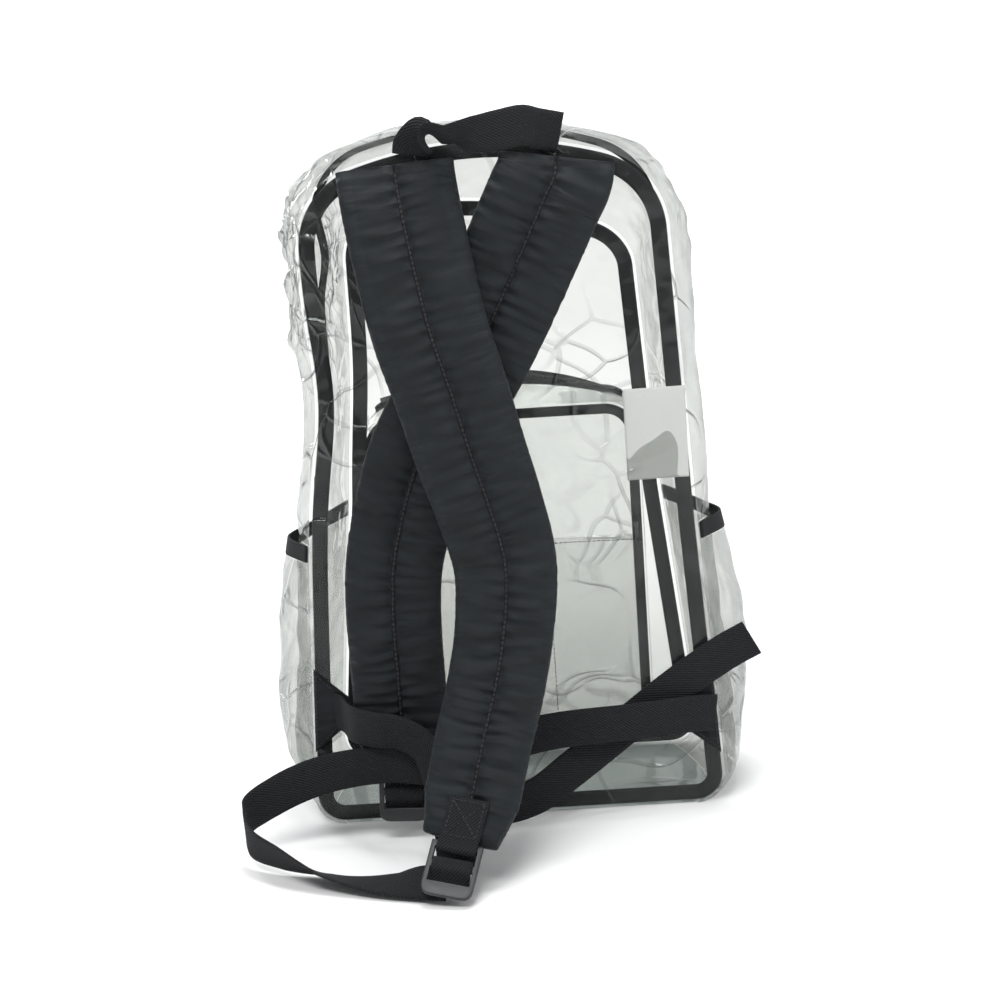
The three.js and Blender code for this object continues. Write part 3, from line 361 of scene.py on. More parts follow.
def creased(points, outward, edge, lively=1.0):
    """Points moved along their normals by folds and waves; edge is 0 at a seam and 1 away from it."""
    normals = grid_normals(points, outward)
    flat = points.reshape(-1, 3)
    share = edge.reshape(-1)
    height = np.array([vinyl_height(p, lively) if e > 0.001 else 0.0 for p, e in zip(flat, share)])
    return points + normals * (height * share).reshape(points.shape[:2] + (1,))


def smoothstep(x):
    x = np.clip(x, 0, 1)
    return x * x * (3 - 2 * x)


def strip_edge(rows, columns, row_length, column_length, reach, sides=(1, 1, 1, 1)):
    """0 at the chosen edges of a grid (first row, last row, first column, last column) and 1 inside."""
    r = np.linspace(0, 1, rows)[:, None] * row_length
    c = np.linspace(0, 1, columns)[None, :] * column_length
    near = np.full((rows, columns), 1e9)
    for chosen, away in zip(sides, (r, row_length - r, c, column_length - c)):
        if chosen:
            near = np.minimum(near, away)
    return smoothstep(near / reach)


class Graph:
    """A material's node tree, with short calls for the nodes used here."""

    def __init__(self, name):
        self.material = bpy.data.materials.new(name)
        self.material.use_nodes = True
        self.nodes, self.links = self.material.node_tree.nodes, self.material.node_tree.links
        self.nodes.clear()
        self.shader = self.node("BsdfPrincipled")
        self.output = self.node("OutputMaterial", {0: self.shader.outputs[0]})
        coordinates = self.node("TexCoord").outputs
        self.place, self.uv = coordinates["Object"], coordinates["UV"]

    def node(self, kind, inputs=None, **settings):
        """A new node. Inputs are values or other nodes' outputs, by socket name or number."""
        node = self.nodes.new("ShaderNode" + kind)
        for key, value in settings.items():
            setattr(node, key, value)
        self.put(node, inputs or {})
        return node

    def put(self, node, inputs):
        for key, value in inputs.items():
            if isinstance(value, bpy.types.NodeSocket):
                self.links.new(value, node.inputs[key])
            else:
                node.inputs[key].default_value = value

    def maths(self, operation, *values):
        return self.node("Math", dict(enumerate(values)), operation=operation).outputs[0]

    def vector(self, operation, *values):
        return self.node("VectorMath", dict(enumerate(values)), operation=operation).outputs

    def mix(self, factor, first, second):
        return self.node("Mix", {0: factor, 6: (*first, 1), 7: (*second, 1)}, data_type="RGBA").outputs[2]

    def noise(self, vector, scale, detail=3.0, rough=0.5):
        inputs = {"Vector": vector, "Scale": scale, "Detail": detail, "Roughness": rough}
        return self.node("TexNoise", inputs).outputs["Fac"]

    def cell_edges(self, vector, scale):
        cells = self.node("TexVoronoi", {"Vector": vector, "Scale": scale}, feature="DISTANCE_TO_EDGE")
        return cells.outputs["Distance"]

    def ramp(self, value, start, end, low=0.0, high=1.0, kind="SMOOTHSTEP"):
        inputs = {"Value": value, "From Min": start, "From Max": end, "To Min": low, "To Max": high}
        return self.node("MapRange", inputs, interpolation_type=kind).outputs[0]

    def bump(self, height, depth, strength=1.0):
        """A bump whose height of 1 stands for depth in millimetres."""
        return self.node("Bump", {"Height": height, "Strength": strength, "Distance": depth * MM})


def woven(name, dark, light, pitches, depth, roughness, sheen, twill=False, gather=0.0):
    """Cloth whose yarns follow the uv map, which is in millimetres. Gather is the depth of its gathers; when
    it is set, the colour also gets painted shade, darkest along the middle seam's groove and darker in the
    valleys of the gathers.
    """
    g = Graph(name)
    across, along, _ = g.node("SeparateXYZ", {0: g.uv}).outputs
    u = g.maths("MULTIPLY", across, math.tau / pitches[0])
    v = g.maths("MULTIPLY", along, math.tau / pitches[1])
    if twill:
        first = g.maths("COSINE", g.maths("ADD", u, v))
        second = g.maths("COSINE", g.maths("SUBTRACT", u, v))
        ribs = g.maths("MULTIPLY_ADD", second, 0.35, first)
    else:
        ribs = g.maths("MULTIPLY", g.maths("COSINE", u), g.maths("COSINE", v))
    height = g.maths("MULTIPLY_ADD", ribs, 0.5, 0.5)
    grain = g.noise(g.place, 900.0, 2.0)
    patches = g.noise(g.place, 38.0, 4.0, 0.6)
    tone = g.maths("MULTIPLY_ADD", height, 0.55, g.maths("MULTIPLY", grain, 0.3))
    tone = g.node("Clamp", {0: g.maths("MULTIPLY_ADD", patches, 0.25, tone)}).outputs[0]
    colour = g.mix(tone, dark, light)
    weave = g.bump(g.maths("MULTIPLY_ADD", grain, 0.35, height), depth, 0.9)
    if gather:
        folds, groove = gathers(g, across, along)
        g.put(weave, {"Normal": g.bump(folds, gather).outputs[0]})
        # Painted shade: the colour is darkened in the valleys of the gathers, and most along the groove of
        # the middle seam.
        shade = g.maths("MULTIPLY_ADD", folds, 0.66, 0.22)
        shade = g.maths("MULTIPLY", shade, g.maths("MULTIPLY_ADD", groove, 0.75, 0.25))
        painted_shade_grey = g.node("CombineColor", {0: shade, 1: shade, 2: shade}).outputs[0]
        painted_shade_mix = g.node("Mix", {0: 1.0}, data_type="RGBA", blend_type="MULTIPLY")
        g.put(painted_shade_mix, {6: colour, 7: painted_shade_grey})
        colour = painted_shade_mix.outputs[2]
    g.put(g.shader, {
        "Base Color": colour, "Roughness": g.maths("MULTIPLY_ADD", patches, 0.18, roughness - 0.09),
        "Sheen Weight": sheen, "Sheen Roughness": 0.45, "Specular IOR Level": 0.24 if gather else 0.22,
        "Normal": weave.outputs[0]})
    return g.material


def gathers(g, across, along):
    """Height of the cloth gathered by a seam at across = 0: ridges that start at it and fade outwards. Also
    the groove, 0 at the seam, which woven() uses for painted shade along the seam.
    """
    def map_noise(u_length, v_length, detail):
        place = g.node("CombineXYZ", {
            0: g.maths("DIVIDE", across, u_length), 1: g.maths("DIVIDE", along, v_length)})
        return g.noise(place.outputs[0], 1.0, detail)

    far = g.maths("ABSOLUTE", across)
    bend = g.maths("MULTIPLY_ADD", map_noise(60.0, 40.0, 0.0), 20.0, along)
    side = g.maths("MULTIPLY", g.maths("SIGN", across), 1.6)
    angle = g.maths("MULTIPLY", g.maths("ADD", bend, side), math.tau / GATHER_PITCH)
    ridge = g.maths("POWER", g.maths("MULTIPLY_ADD", g.maths("COSINE", angle), 0.5, 0.5), 0.7)
    fade = g.maths("EXPONENT", g.maths("DIVIDE", far, -10.0))
    start = g.maths("MINIMUM", g.maths("DIVIDE", far, 2.2), 1.0)
    near = g.maths("MULTIPLY", g.maths("MULTIPLY", ridge, fade), start)
    rim = g.maths("EXPONENT", g.maths("DIVIDE", g.maths("SUBTRACT", far, 27.0), 6.0))
    edge = g.maths("MULTIPLY", map_noise(30.0, 5.5, 1.0), g.maths("MINIMUM", rim, 1.0))
    edge = g.maths("MULTIPLY", edge, 0.8)
    height = g.maths("ADD", near, g.maths("ADD", edge, map_noise(30.0, 13.0, 1.0)))
    groove = g.maths("MINIMUM", g.maths("DIVIDE", far, 1.6), 1.0)
    return g.maths("MULTIPLY", height, groove), groove


def moulded(name, dark, light, roughness):
    g = Graph(name)
    grain = g.noise(g.place, 1400.0, 3.0, 0.6)
    wear = g.noise(g.place, 90.0, 4.0, 0.6)
    g.put(g.shader, {
        "Base Color": g.mix(wear, dark, light), "Normal": g.bump(grain, 0.08, 0.5).outputs[0],
        "Roughness": g.maths("MULTIPLY_ADD", wear, 0.2, roughness - 0.1)})
    return g.material


def crease_lines(g):
    """1 along thin bent creases, which show in patches, and along finer ones in the crumpled corner."""
    bend = g.node("TexNoise", {"Vector": g.place, "Scale": 20.0, "Detail": 0.0}).outputs["Color"]
    bent = g.vector("MULTIPLY_ADD", bend, (0.05, 0.05, 0.05), g.place)[0]
    line = g.ramp(g.cell_edges(bent, 17.0), 0.0, 0.04, 1.0, 0.0)
    patch = g.ramp(g.noise(g.place, 11.0, 0.0), 0.46, 0.62)
    upright = g.vector("MULTIPLY", bent, (1.0, 1.0, 0.45))[0]
    thin = g.ramp(g.cell_edges(upright, 62.0), 0.0, 0.13, 1.0, 0.0)
    away = g.vector("DISTANCE", g.place, CRUMPLED_CORNER)["Value"]
    corner = g.ramp(away, 0.03, 0.11, 1.0, 0.0)
    return g.maths("MAXIMUM", g.maths("MULTIPLY", line, patch), g.maths("MULTIPLY", thin, corner))


def clear_vinyl(name, tint, haze, ripple):
    """Clear sheet: mostly see-through face on, denser and more mirror-like towards its edges, and painted
    denser along its creases.
    """
    g = Graph(name)
    smear = g.noise(g.place, 60.0, 2.0, 0.65)
    crease = crease_lines(g)
    height = g.maths("MULTIPLY_ADD", g.noise(g.place, 120.0, 0.0), 0.12, g.noise(g.place, 26.0, 1.0, 0.45))
    bump = g.bump(g.maths("MULTIPLY_ADD", crease, 0.55, height), ripple).outputs[0]
    g.put(g.shader, {
        "Metallic": 0.6, "Base Color": g.mix(smear, (0.13, 0.14, 0.137), (0.34, 0.36, 0.35)),
        "Roughness": g.maths("MULTIPLY_ADD", smear, 0.1, 0.02), "Normal": bump})
    facing = g.node("LayerWeight", {"Blend": 0.5, "Normal": bump}).outputs["Facing"]
    milky = g.maths("MULTIPLY_ADD", smear, 0.03, haze)
    density = g.maths("MULTIPLY_ADD", g.maths("POWER", facing, 2.6), 0.75, milky)
    # Painted reflection: the sheet is made denser along its creases, so they show as streaks of its
    # mirror-like shade; the creases' relief is only the bump above.
    density = g.maths("MULTIPLY_ADD", crease, 0.16, density)
    clear = g.node("BsdfTransparent", {"Color": (*tint, 1)}).outputs[0]
    mix = g.node("MixShader", {0: density, 1: clear, 2: g.shader.outputs[0]})
    g.put(g.output, {0: mix.outputs[0]})
    return g.material


VINYL_SKIN = clear_vinyl("clear_vinyl", (0.86, 0.87, 0.855), 0.1, 4.4)
VINYL_FLOOR = clear_vinyl("floor_vinyl", (0.78, 0.82, 0.81), 0.12, 1.0)
BLACK = (0.003, 0.0032, 0.0036)
BINDING_CLOTH = woven("binding_tape", BLACK, (0.016, 0.017, 0.019), (1.1, 0.9), 0.18, 0.78, 0.02)
ZIP_TAPE = woven("zipper_tape", BLACK, (0.018, 0.019, 0.021), (0.9, 1.3), 0.16, 0.76, 0.02)
STRAP_CLOTH = woven("strap_cloth", (0.0045, 0.0065, 0.0075), (0.017, 0.0225, 0.0255), (0.62, 0.62), 0.1,
                    0.62, 0.03, gather=3.2)
WEBBING_CLOTH = woven("webbing_cloth", (0.0015, 0.0017, 0.002), (0.022, 0.0235, 0.026), (2.6, 2.0), 0.5,
                      0.8, 0.02, twill=True)
LABEL_CLOTH = woven("label_cloth", (0.44, 0.45, 0.43), (0.58, 0.59, 0.57), (0.5, 0.5), 0.05, 0.6, 0.1)
THREAD = woven("thread", (0.004, 0.0045, 0.005), (0.025, 0.026, 0.03), (0.8, 0.8), 0.1, 0.6, 0.3)
PLASTIC = moulded("moulded_plastic", (0.008, 0.0085, 0.0095), (0.022, 0.023, 0.026), 0.42)


def mount_piece(piece, slot, *nodes):
    """Makes a piece a part of the bag: hangs it on the bag's root and hides the solids that it stands for.
    Slot is not used.
    """
    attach(piece, "root")
    if nodes:
        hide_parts(*nodes)
    return piece


def vinyl_piece(name, points, uv, *nodes):
    return mount_piece(build_mesh(name, points, uv, VINYL_SKIN), "clear_vinyl", *nodes)


def binding_piece(name, points, uv, node, caps=True):
    return mount_piece(build_mesh(name, points, uv, BINDING_CLOTH, True, caps), "binding", node)


def wall_piece(name, rounds, shares, sides, node, lively=1.0):
    points = np.stack([wall_row(rounds, share) for share in shares])
    outward = away_from(points, BAG_MIDDLE)
    depth = abs(shares[-1] - shares[0]) * BAG_DEPTH
    lengths = grid_lengths(points)
    edge = strip_edge(len(shares), len(rounds), depth, lengths[0, -1, 0], 12.0, sides)
    points = creased(points, outward, edge, lively)
    return vinyl_piece(name, points, lengths, node)


def panel_grid(outline, face, rings):
    """Rings of points from an outline to its middle, laid on a face."""
    middle = outline.mean(axis=0)
    shares = 1 - np.linspace(0, 1, rings) * 0.999
    grid = []
    for share in shares:
        ring = middle + (outline - middle) * share
        ring[:, 1] = face(ring[:, 0], ring[:, 2])
        grid.append(ring)
    return np.stack(grid)


def panel_piece(name, outline, face, outward, node, rings=46, lively=1.0):
    grid = panel_grid(outline, face, rings)
    edge = np.repeat(smoothstep(np.linspace(0, 1, rings) / PANEL_RIM)[:, None], grid.shape[1], 1)
    heights = np.array([
        [vinyl_height(p, lively) * e if e > 0.001 else 0.0 for p, e in zip(line, shares)]
        for line, shares in zip(grid, edge)])
    grid[..., 1] += outward * heights
    uv = grid[..., [0, 2]]
    piece = build_mesh(name, grid, uv, VINYL_SKIN, ring=True)
    fix_ring_uv(piece)
    return mount_piece(piece, "clear_vinyl", node)


def fix_ring_uv(piece):
    """uv of a panel read straight from its x and z."""
    mesh = piece.data
    layer = mesh.uv_layers[0].data
    for loop in mesh.loops:
        co = mesh.vertices[loop.vertex_index].co
        layer[loop.index].uv = (co.x * 1000, co.z * 1000)


ROUNDS_TOP = np.concatenate([
    -np.linspace(BAND_STOP, CORNER_END, 46)[:-1], -np.linspace(CORNER_END, TOP_END, 30)[:-1],
    np.linspace(-TOP_END, TOP_END, 72)[:-1], np.linspace(TOP_END, CORNER_END, 30)[:-1],
    np.linspace(CORNER_END, BAND_STOP, 46)])
ROUNDS_ALL = np.concatenate([
    -np.linspace(1, FOOT_END, 26)[:-1], -np.linspace(FOOT_END, FOOT_START, 12)[:-1],
    -np.linspace(FOOT_START, BAND_STOP, 36)[:-1], ROUNDS_TOP[:-1],
    np.linspace(BAND_STOP, FOOT_START, 36)[:-1], np.linspace(FOOT_START, FOOT_END, 12)[:-1],
    np.linspace(FOOT_END, 1, 26)[:-1]])

ALL_SEWN = (1, 1, 1, 1)
wall_piece("back_gusset_skin", ROUNDS_TOP, np.linspace(0, ZIP_FROM, 34), ALL_SEWN, "back_gusset", 1.5)
wall_piece("front_gusset_skin", ROUNDS_TOP, np.linspace(ZIP_TO, 1, 32), ALL_SEWN, "front_gusset", 1.3)
LOWER = np.concatenate([
    np.linspace(BAND_STOP + 0.001, FOOT_START, 50)[:-1], np.linspace(FOOT_START, FOOT_END, 14)])
for side, word in ((-1, "left"), (1, "right")):
    wall_piece(f"{word}_side_skin", side * LOWER, np.linspace(0, 1, 60), (1, 1, 1, 0),
               f"{word}_side_panel", 1.1)

PANEL_INSET = VINYL + 2 * GAP
panel_piece("back_panel_skin", wall_row(ROUNDS_ALL, 0.0, PANEL_INSET), back_face, -1, "back_panel")
panel_piece("front_panel_skin", wall_row(ROUNDS_ALL, 1.0, PANEL_INSET),
            lambda x, z: front_face(x, z) - VINYL, 1, "front_panel")


def floor_piece():
    rows = []
    for share in np.linspace(0, 1, 30):
        half = wall_row([FOOT_END], share)[0, 0] - GAP
        x = np.linspace(-half, half, 60)
        rows.append(np.stack([x, np.full_like(x, BACK_Y + BAG_DEPTH * share), np.full_like(x, 0.6)], -1))
    points = np.stack(rows)
    return mount_piece(build_mesh("bottom_skin", points, grid_lengths(points), VINYL_FLOOR),
                       "clear_vinyl", "bottom_panel")


floor_piece()


def side_swell(z, share):
    up = (z - FOOT) / (BAND - FOOT)
    return SIDE_SWELL * math.sin(math.pi * share) * np.sin(SWELL_CUT * math.pi * up)


def side_pocket_grid(side, places, lift, columns=48):
    grid = []
    low = GAP / BAG_DEPTH
    for share in np.linspace(low, 1 - low, columns):
        row = wall_row(side * np.asarray(places), share)
        row[:, 0] += side * (2 * GAP + lift + side_swell(row[:, 2], share))
        grid.append(row)
    return np.stack(grid)


EDGE = BAND_STOP + (FOOT_START - BAND_STOP) * SIDE_BINDING / (BAND - FOOT)
for side, word in ((-1, "left"), (1, "right")):
    grid = side_pocket_grid(side, np.linspace(EDGE + 0.001, FOOT_START, 44), VINYL)
    lengths = grid_lengths(grid)
    edge = strip_edge(48, 44, BAG_DEPTH, lengths[0, -1, 0], 12.0, (1, 1, 1, 1))
    outward = np.zeros_like(grid)
    outward[..., 0] = side
    shell = creased(grid, outward, edge, 1.0)
    vinyl_piece(f"{word}_pocket_skin", shell, lengths, f"{word}_side_pocket")
    outer = side_pocket_grid(side, np.linspace(BAND_STOP, EDGE, 8), BINDING_THICK)
    inner = side_pocket_grid(side, np.linspace(EDGE, BAND_STOP, 8), 0.0)
    loop = np.concatenate([outer, inner], axis=1)
    binding_piece(f"{word}_pocket_tape", loop, grid_lengths(loop)[..., ::-1], f"{word}_side_pocket_binding")


def tape_profile(count=5, round_share=0.12):
    """(share of the width, share of the thickness) round a flat tape with soft edges."""
    shares = np.linspace(0, 1, count)
    low = [(s, 0.0) for s in shares]
    high = [(s, 1.0) for s in shares[::-1]]
    return low + [(1.0 + round_share * 0.1, 0.5)] + high + [(-round_share * 0.1, 0.5)]


def seam_tape(name, share, towards, node):
    face = back_face if share == 0 else front_face
    inset = VINYL + 3 * GAP
    outer = wall_row(ROUNDS_ALL, share, inset)
    inner = wall_row(ROUNDS_ALL, share, inset + BINDING_WIDTH)
    profile = tape_profile()
    ring = []
    for a, b in zip(outer, inner):
        line = []
        for across, up in profile:
            p = a + (b - a) * across
            y = face(p[0], p[2]) + towards * (VINYL + GAP + BINDING_THICK * up)
            line.append((p[0], y, p[2]))
        ring.append(line)
    ring.append(ring[0])
    points = np.array(ring)
    return binding_piece(name, points, tape_uv(points), node, caps=False)


def tape_uv(points):
    """uv of a tape: u along it, v round its section, in millimetres."""
    rows, columns = points.shape[:2]
    middle = points.mean(axis=1)
    along = np.concatenate([[0], np.cumsum(np.linalg.norm(np.diff(middle, axis=0), axis=-1))])
    across = np.concatenate([[0], np.cumsum(np.linalg.norm(np.diff(points[0], axis=0), axis=-1))])
    return np.stack([np.repeat(along[:, None], columns, 1), np.repeat(across[None, :], rows, 0)], -1)


seam_tape("back_seam_tape", 0.0, 1, "back_binding")
seam_tape("front_seam_tape", 1.0, -1, "front_binding")


def frames_along(points):
    tangent = np.gradient(points, axis=0)
    return tangent / np.linalg.norm(tangent, axis=1, keepdims=True)


def zipper_tape(name, edge_a, edge_b, normals, node):
    shares = np.linspace(0, 1, 9)
    columns = []
    for s in shares:
        columns.append(edge_a + (edge_b - edge_a) * s)
    for s in shares[::-1]:
        columns.append(edge_a + (edge_b - edge_a) * s - normals * TAPE)
    points = np.stack(columns, axis=1)
    return mount_piece(build_mesh(name, points, tape_uv(points), ZIP_TAPE, True, True), "zipper_tape", node)


def resampled(points, pitch):
    lengths = np.concatenate([[0], np.cumsum(np.linalg.norm(np.diff(points, axis=0), axis=1))])
    count = int(lengths[-1] / pitch)
    wanted = (np.arange(count) + 0.5) * lengths[-1] / count
    return np.stack([np.interp(wanted, lengths, points[:, k]) for k in range(3)], -1), wanted, lengths


def tooth_ring(half_width, half_length, height):
    corners = ((-1, -1), (1, -1), (1, 1), (-1, 1))
    return [(half_width * x, half_length * y, height) for x, y in corners]


TOOTH = np.array(tooth_ring(0.5, 0.5, 0.0) + tooth_ring(0.5, 0.42, 0.62) + tooth_ring(0.32, 0.3, 1.0))
TOOTH_FACES = [(3, 2, 1, 0)] + [
    (low + k, low + (k + 1) % 4, low + 4 + (k + 1) % 4, low + 4 + k) for low in (0, 4) for k in range(4)
] + [(8, 9, 10, 11)]


def small_copies(name, places, material):
    """One mesh of many small copies of a shape: places are (points array, faces)."""
    vertices, faces = [], []
    for points, shape_faces in places:
        base = len(vertices)
        vertices.extend(tuple(p * MM) for p in points)
        faces.extend(tuple(base + k for k in face) for face in shape_faces)
    mesh = bpy.data.meshes.new(name)
    mesh.from_pydata(vertices, [], faces)
    layer = mesh.uv_layers.new(name="UVMap")
    for loop in mesh.loops:
        co = mesh.vertices[loop.vertex_index].co
        layer.data[loop.index].uv = ((co.x + co.y) * 1000, co.z * 1000)
    mesh.materials.append(material)
    mesh.shade_smooth()
    piece = bpy.data.objects.new(name, mesh)
    scene.collection.objects.link(piece)
    return piece


def zipper_teeth(name, middle, across, normals, pitch=1.35):
    centres, wanted, lengths = resampled(middle, pitch)
    places = []
    tangents = frames_along(centres)
    for k, centre in enumerate(centres):
        side = np.array([np.interp(wanted[k], lengths, across[:, i]) for i in range(3)])
        normal = np.array([np.interp(wanted[k], lengths, normals[:, i]) for i in range(3)])
        shift = 0.55 if k % 2 else -0.55
        points = (centre + side * shift + np.outer(TOOTH[:, 0] * 2.7, side)
                  + np.outer(TOOTH[:, 1], tangents[k]) + np.outer(TOOTH[:, 2] * COIL * 0.92, normal))
        places.append((points, TOOTH_FACES))
    return mount_piece(small_copies(name, places, PLASTIC), "zipper_tape")


def zipper(name, edge_a, edge_b, centre_z, node):
    """A zipper between two edges, its teeth on the side away from the height centre_z."""
    across = edge_b - edge_a
    across /= np.linalg.norm(across, axis=1, keepdims=True)
    middle = (edge_a + edge_b) / 2
    normals = np.cross(frames_along(middle), across)
    normals *= np.sign(np.sum(normals * away_from(middle, centre_z), axis=1, keepdims=True))
    zipper_tape(f"{name}_tape", edge_a, edge_b, normals, node)
    zipper_teeth(f"{name}_teeth", middle, across, normals)


ZIP_GAP = GAP / BAG_DEPTH
zipper("main_zipper", wall_row(ROUNDS_TOP, ZIP_FROM + ZIP_GAP), wall_row(ROUNDS_TOP, ZIP_TO - ZIP_GAP),
       BAG_MIDDLE, "main_zipper")


def pocket_outline(inset, height, crown, fine=1):
    half = POCKET_WIDTH / 2 - inset
    low = VINYL + GAP + FOOT / 2 + inset
    radius = POCKET_CORNER - inset
    points = [(half, low + (height - radius - low) * t) for t in np.linspace(0, 1, 4 * fine + 1)]
    for k in range(1, 5 * fine + 1):
        angle = k / (5 * fine) * math.pi / 2
        points.append((half - radius + radius * math.cos(angle), height - radius + radius * math.sin(angle)))
    for k in range(1, 4 * fine + 1):
        t = 1 - k / (4 * fine)
        points.append(((half - radius) * t, height + crown * (1 - t * t)))
    return np.array(points + [(-x, z) for x, z in points[-2::-1]])


FINE = 8


def pocket_row(depth, inset=0.0):
    base = pocket_outline(inset, POCKET_HEIGHT - inset, 0, FINE)
    arch = pocket_outline(inset, POCKET_HEIGHT + POCKET_RISE - inset, POCKET_CROWN, FINE)
    p = base + (arch - base) * depth
    return np.stack([p[:, 0], front_face(p[:, 0], p[:, 1]) + GAP + POCKET_DEPTH * depth, p[:, 1]], -1)


ZIP_SHARE = 1 - POCKET_ZIPPER / POCKET_DEPTH
POCKET_COUNT = len(pocket_row(0))
ARCH_START, ARCH_END = 6 * FINE, POCKET_COUNT - 1 - 6 * FINE


def pocket_pieces():
    gap = GAP / POCKET_DEPTH
    last = np.ones(POCKET_COUNT)
    last[ARCH_START:ARCH_END + 1] = ZIP_SHARE - gap
    rows = []
    for t in np.linspace(0, 1, 12):
        p = np.zeros((POCKET_COUNT, 3))
        for value in (1.0, ZIP_SHARE - gap):
            chosen = last == value
            p[chosen] = pocket_row(value * t)[chosen]
        rows.append(p)
    points = np.stack(rows)
    outward = away_from(points, POCKET_MIDDLE)
    lengths = grid_lengths(points)
    edge = strip_edge(12, POCKET_COUNT, POCKET_DEPTH, lengths[0, -1, 0], 8.0, (1, 1, 1, 1))
    vinyl_piece("pocket_wall_skin", creased(points, outward, edge, 0.7), lengths, "front_pocket_gusset")
    low, high = ARCH_START + FINE, ARCH_END - FINE + 1
    zipper("pocket_zipper", pocket_row(ZIP_SHARE)[low:high], pocket_row(1.0)[low:high], POCKET_MIDDLE,
           "front_pocket_zipper")
    inset = 2 * VINYL + 3 * GAP
    outline = pocket_row(1.0, inset)
    floor = np.linspace(outline[-1], outline[0], 40)[1:-1]
    panel_piece("pocket_panel_skin", np.concatenate([outline, floor]),
                lambda x, z: front_face(x, z) + GAP + POCKET_DEPTH - VINYL, 1, "front_pocket_panel", 40, 1.2)
    base = []
    high_z = VINYL + FOOT / 2
    for depth in np.linspace(0, 1, 8):
        x = np.linspace(-POCKET_WIDTH / 2, POCKET_WIDTH / 2, 40)
        z = np.full_like(x, high_z - VINYL / 2)
        base.append(np.stack([x, front_face(x, z) + GAP + POCKET_DEPTH * depth, z], -1))
    base = np.stack(base)
    vinyl_piece("pocket_floor_skin", base, grid_lengths(base), "front_pocket_base")
    outer_inset = VINYL + 2 * GAP
    a = pocket_outline(outer_inset, POCKET_HEIGHT - outer_inset, 0, FINE)
    inner_inset = outer_inset + POCKET_BINDING
    b = pocket_outline(inner_inset, POCKET_HEIGHT - inner_inset, 0, FINE)
    ring = []
    for p, q in zip(a, b):
        line = []
        for across_share, up in tape_profile():
            x, z = p + (q - p) * across_share
            line.append((x, front_face(x, z) + GAP + BINDING_THICK * up, z))
        ring.append(line)
    ring = np.array(ring)
    binding_piece("pocket_seam_tape", ring, tape_uv(ring), "front_pocket_binding")


pocket_pieces()


def organizer():
    half = POCKET_WIDTH / 2 - VINYL - 2 * GAP
    low = 2 * VINYL + 2 * GAP + FOOT / 2
    high = low + ORGANIZER_HEIGHT
    x, z = np.meshgrid(np.linspace(-half, half, 90), np.linspace(low, high, 66))
    y = front_face(x, z) + GAP + POCKET_DEPTH / 3
    points = np.stack([x, y, z], -1)
    outward = np.zeros_like(points)
    outward[..., 1] = 1
    edge = strip_edge(66, 90, high - low, 2 * half, 10.0, (1, 0, 1, 1))
    points = creased(points, outward, edge, 1.0)
    vinyl_piece("organizer_skin", points, grid_lengths(points), "front_pocket_organizer")
    runs = []
    for start, end in (((-half + 2, high - 4), (half - 2, high - 4)), ((28, low + 2), (28, high - 5)),
                       ((-34, low + 2), (-34, high - 5))):
        start, end = np.array(start), np.array(end)
        count = int(np.linalg.norm(end - start) / 3.4)
        for k in range(count):
            x, z = start + (end - start) * (k + 0.5) / count
            way = (end - start) / np.linalg.norm(end - start)
            y = front_face(x, z) + GAP + POCKET_DEPTH / 3 + 0.4
            runs.append((np.array([x, y, z]), np.array([way[0], 0, way[1]]), np.array([0, 1.0, 0])))
    mount_piece(stitches("organizer_stitches", runs, 2.5, 0.36), "webbing")


def stitch_shape(centre, way, out, length, radius):
    side = np.cross(way, out)
    points, faces = [], []
    for row, (along, size) in enumerate(((-0.5, 0.35), (-0.3, 0.95), (0, 1.05), (0.3, 0.95), (0.5, 0.35))):
        for k in range(6):
            angle = k * math.pi / 3
            points.append(centre + way * along * length + side * math.cos(angle) * radius * size
                          + out * (math.sin(angle) * size + 0.35 * size) * radius)
            if row < 4:
                a, b = row * 6 + k, row * 6 + (k + 1) % 6
                faces.append((a, b, b + 6, a + 6))
    faces.append((5, 4, 3, 2, 1, 0))
    faces.append((24, 25, 26, 27, 28, 29))
    return np.array(points), faces


def stitches(name, runs, length, radius):
    return small_copies(name, [stitch_shape(c, w, o, length, radius) for c, w, o in runs], THREAD)


organizer()


def route_point(row):
    return np.array([row[0] * BAG_WIDTH / 2, BACK_Y - row[1] * STRAP_REACH, row[2] * BAG_HEIGHT])


def blade_of(row):
    return np.array([row[3], -row[4], row[5]], float)


class Curve:
    """Centripetal curve through points."""

    def __init__(self, points):
        self.points = [np.asarray(p, float) for p in points]

    def at(self, t):
        points = self.points
        place = min(max(t, 0.0), 1.0) * (len(points) - 1)
        k = min(int(place), len(points) - 2)
        w = place - k
        p1, p2 = points[k], points[k + 1]
        p0 = points[k - 1] if k > 0 else 2 * points[0] - points[1]
        p3 = points[k + 2] if k + 2 < len(points) else 2 * points[-1] - points[-2]
        d0, d1, d2 = (max(np.sum((b - a) ** 2) ** 0.25, 1e-4) for a, b in ((p0, p1), (p1, p2), (p2, p3)))
        leave = ((p1 - p0) / d0 - (p2 - p0) / (d0 + d1) + (p2 - p1) / d1) * d1
        arrive = ((p2 - p1) / d1 - (p3 - p1) / (d1 + d2) + (p3 - p2) / d2) * d1
        return p1 + leave * w + (-3 * p1 + 3 * p2 - 2 * leave - arrive) * w * w + (
            2 * p1 - 2 * p2 + leave + arrive) * w ** 3

    def tangent(self, t):
        d = self.at(min(t + 1e-4, 1)) - self.at(max(t - 1e-4, 0))
        return d / np.linalg.norm(d)


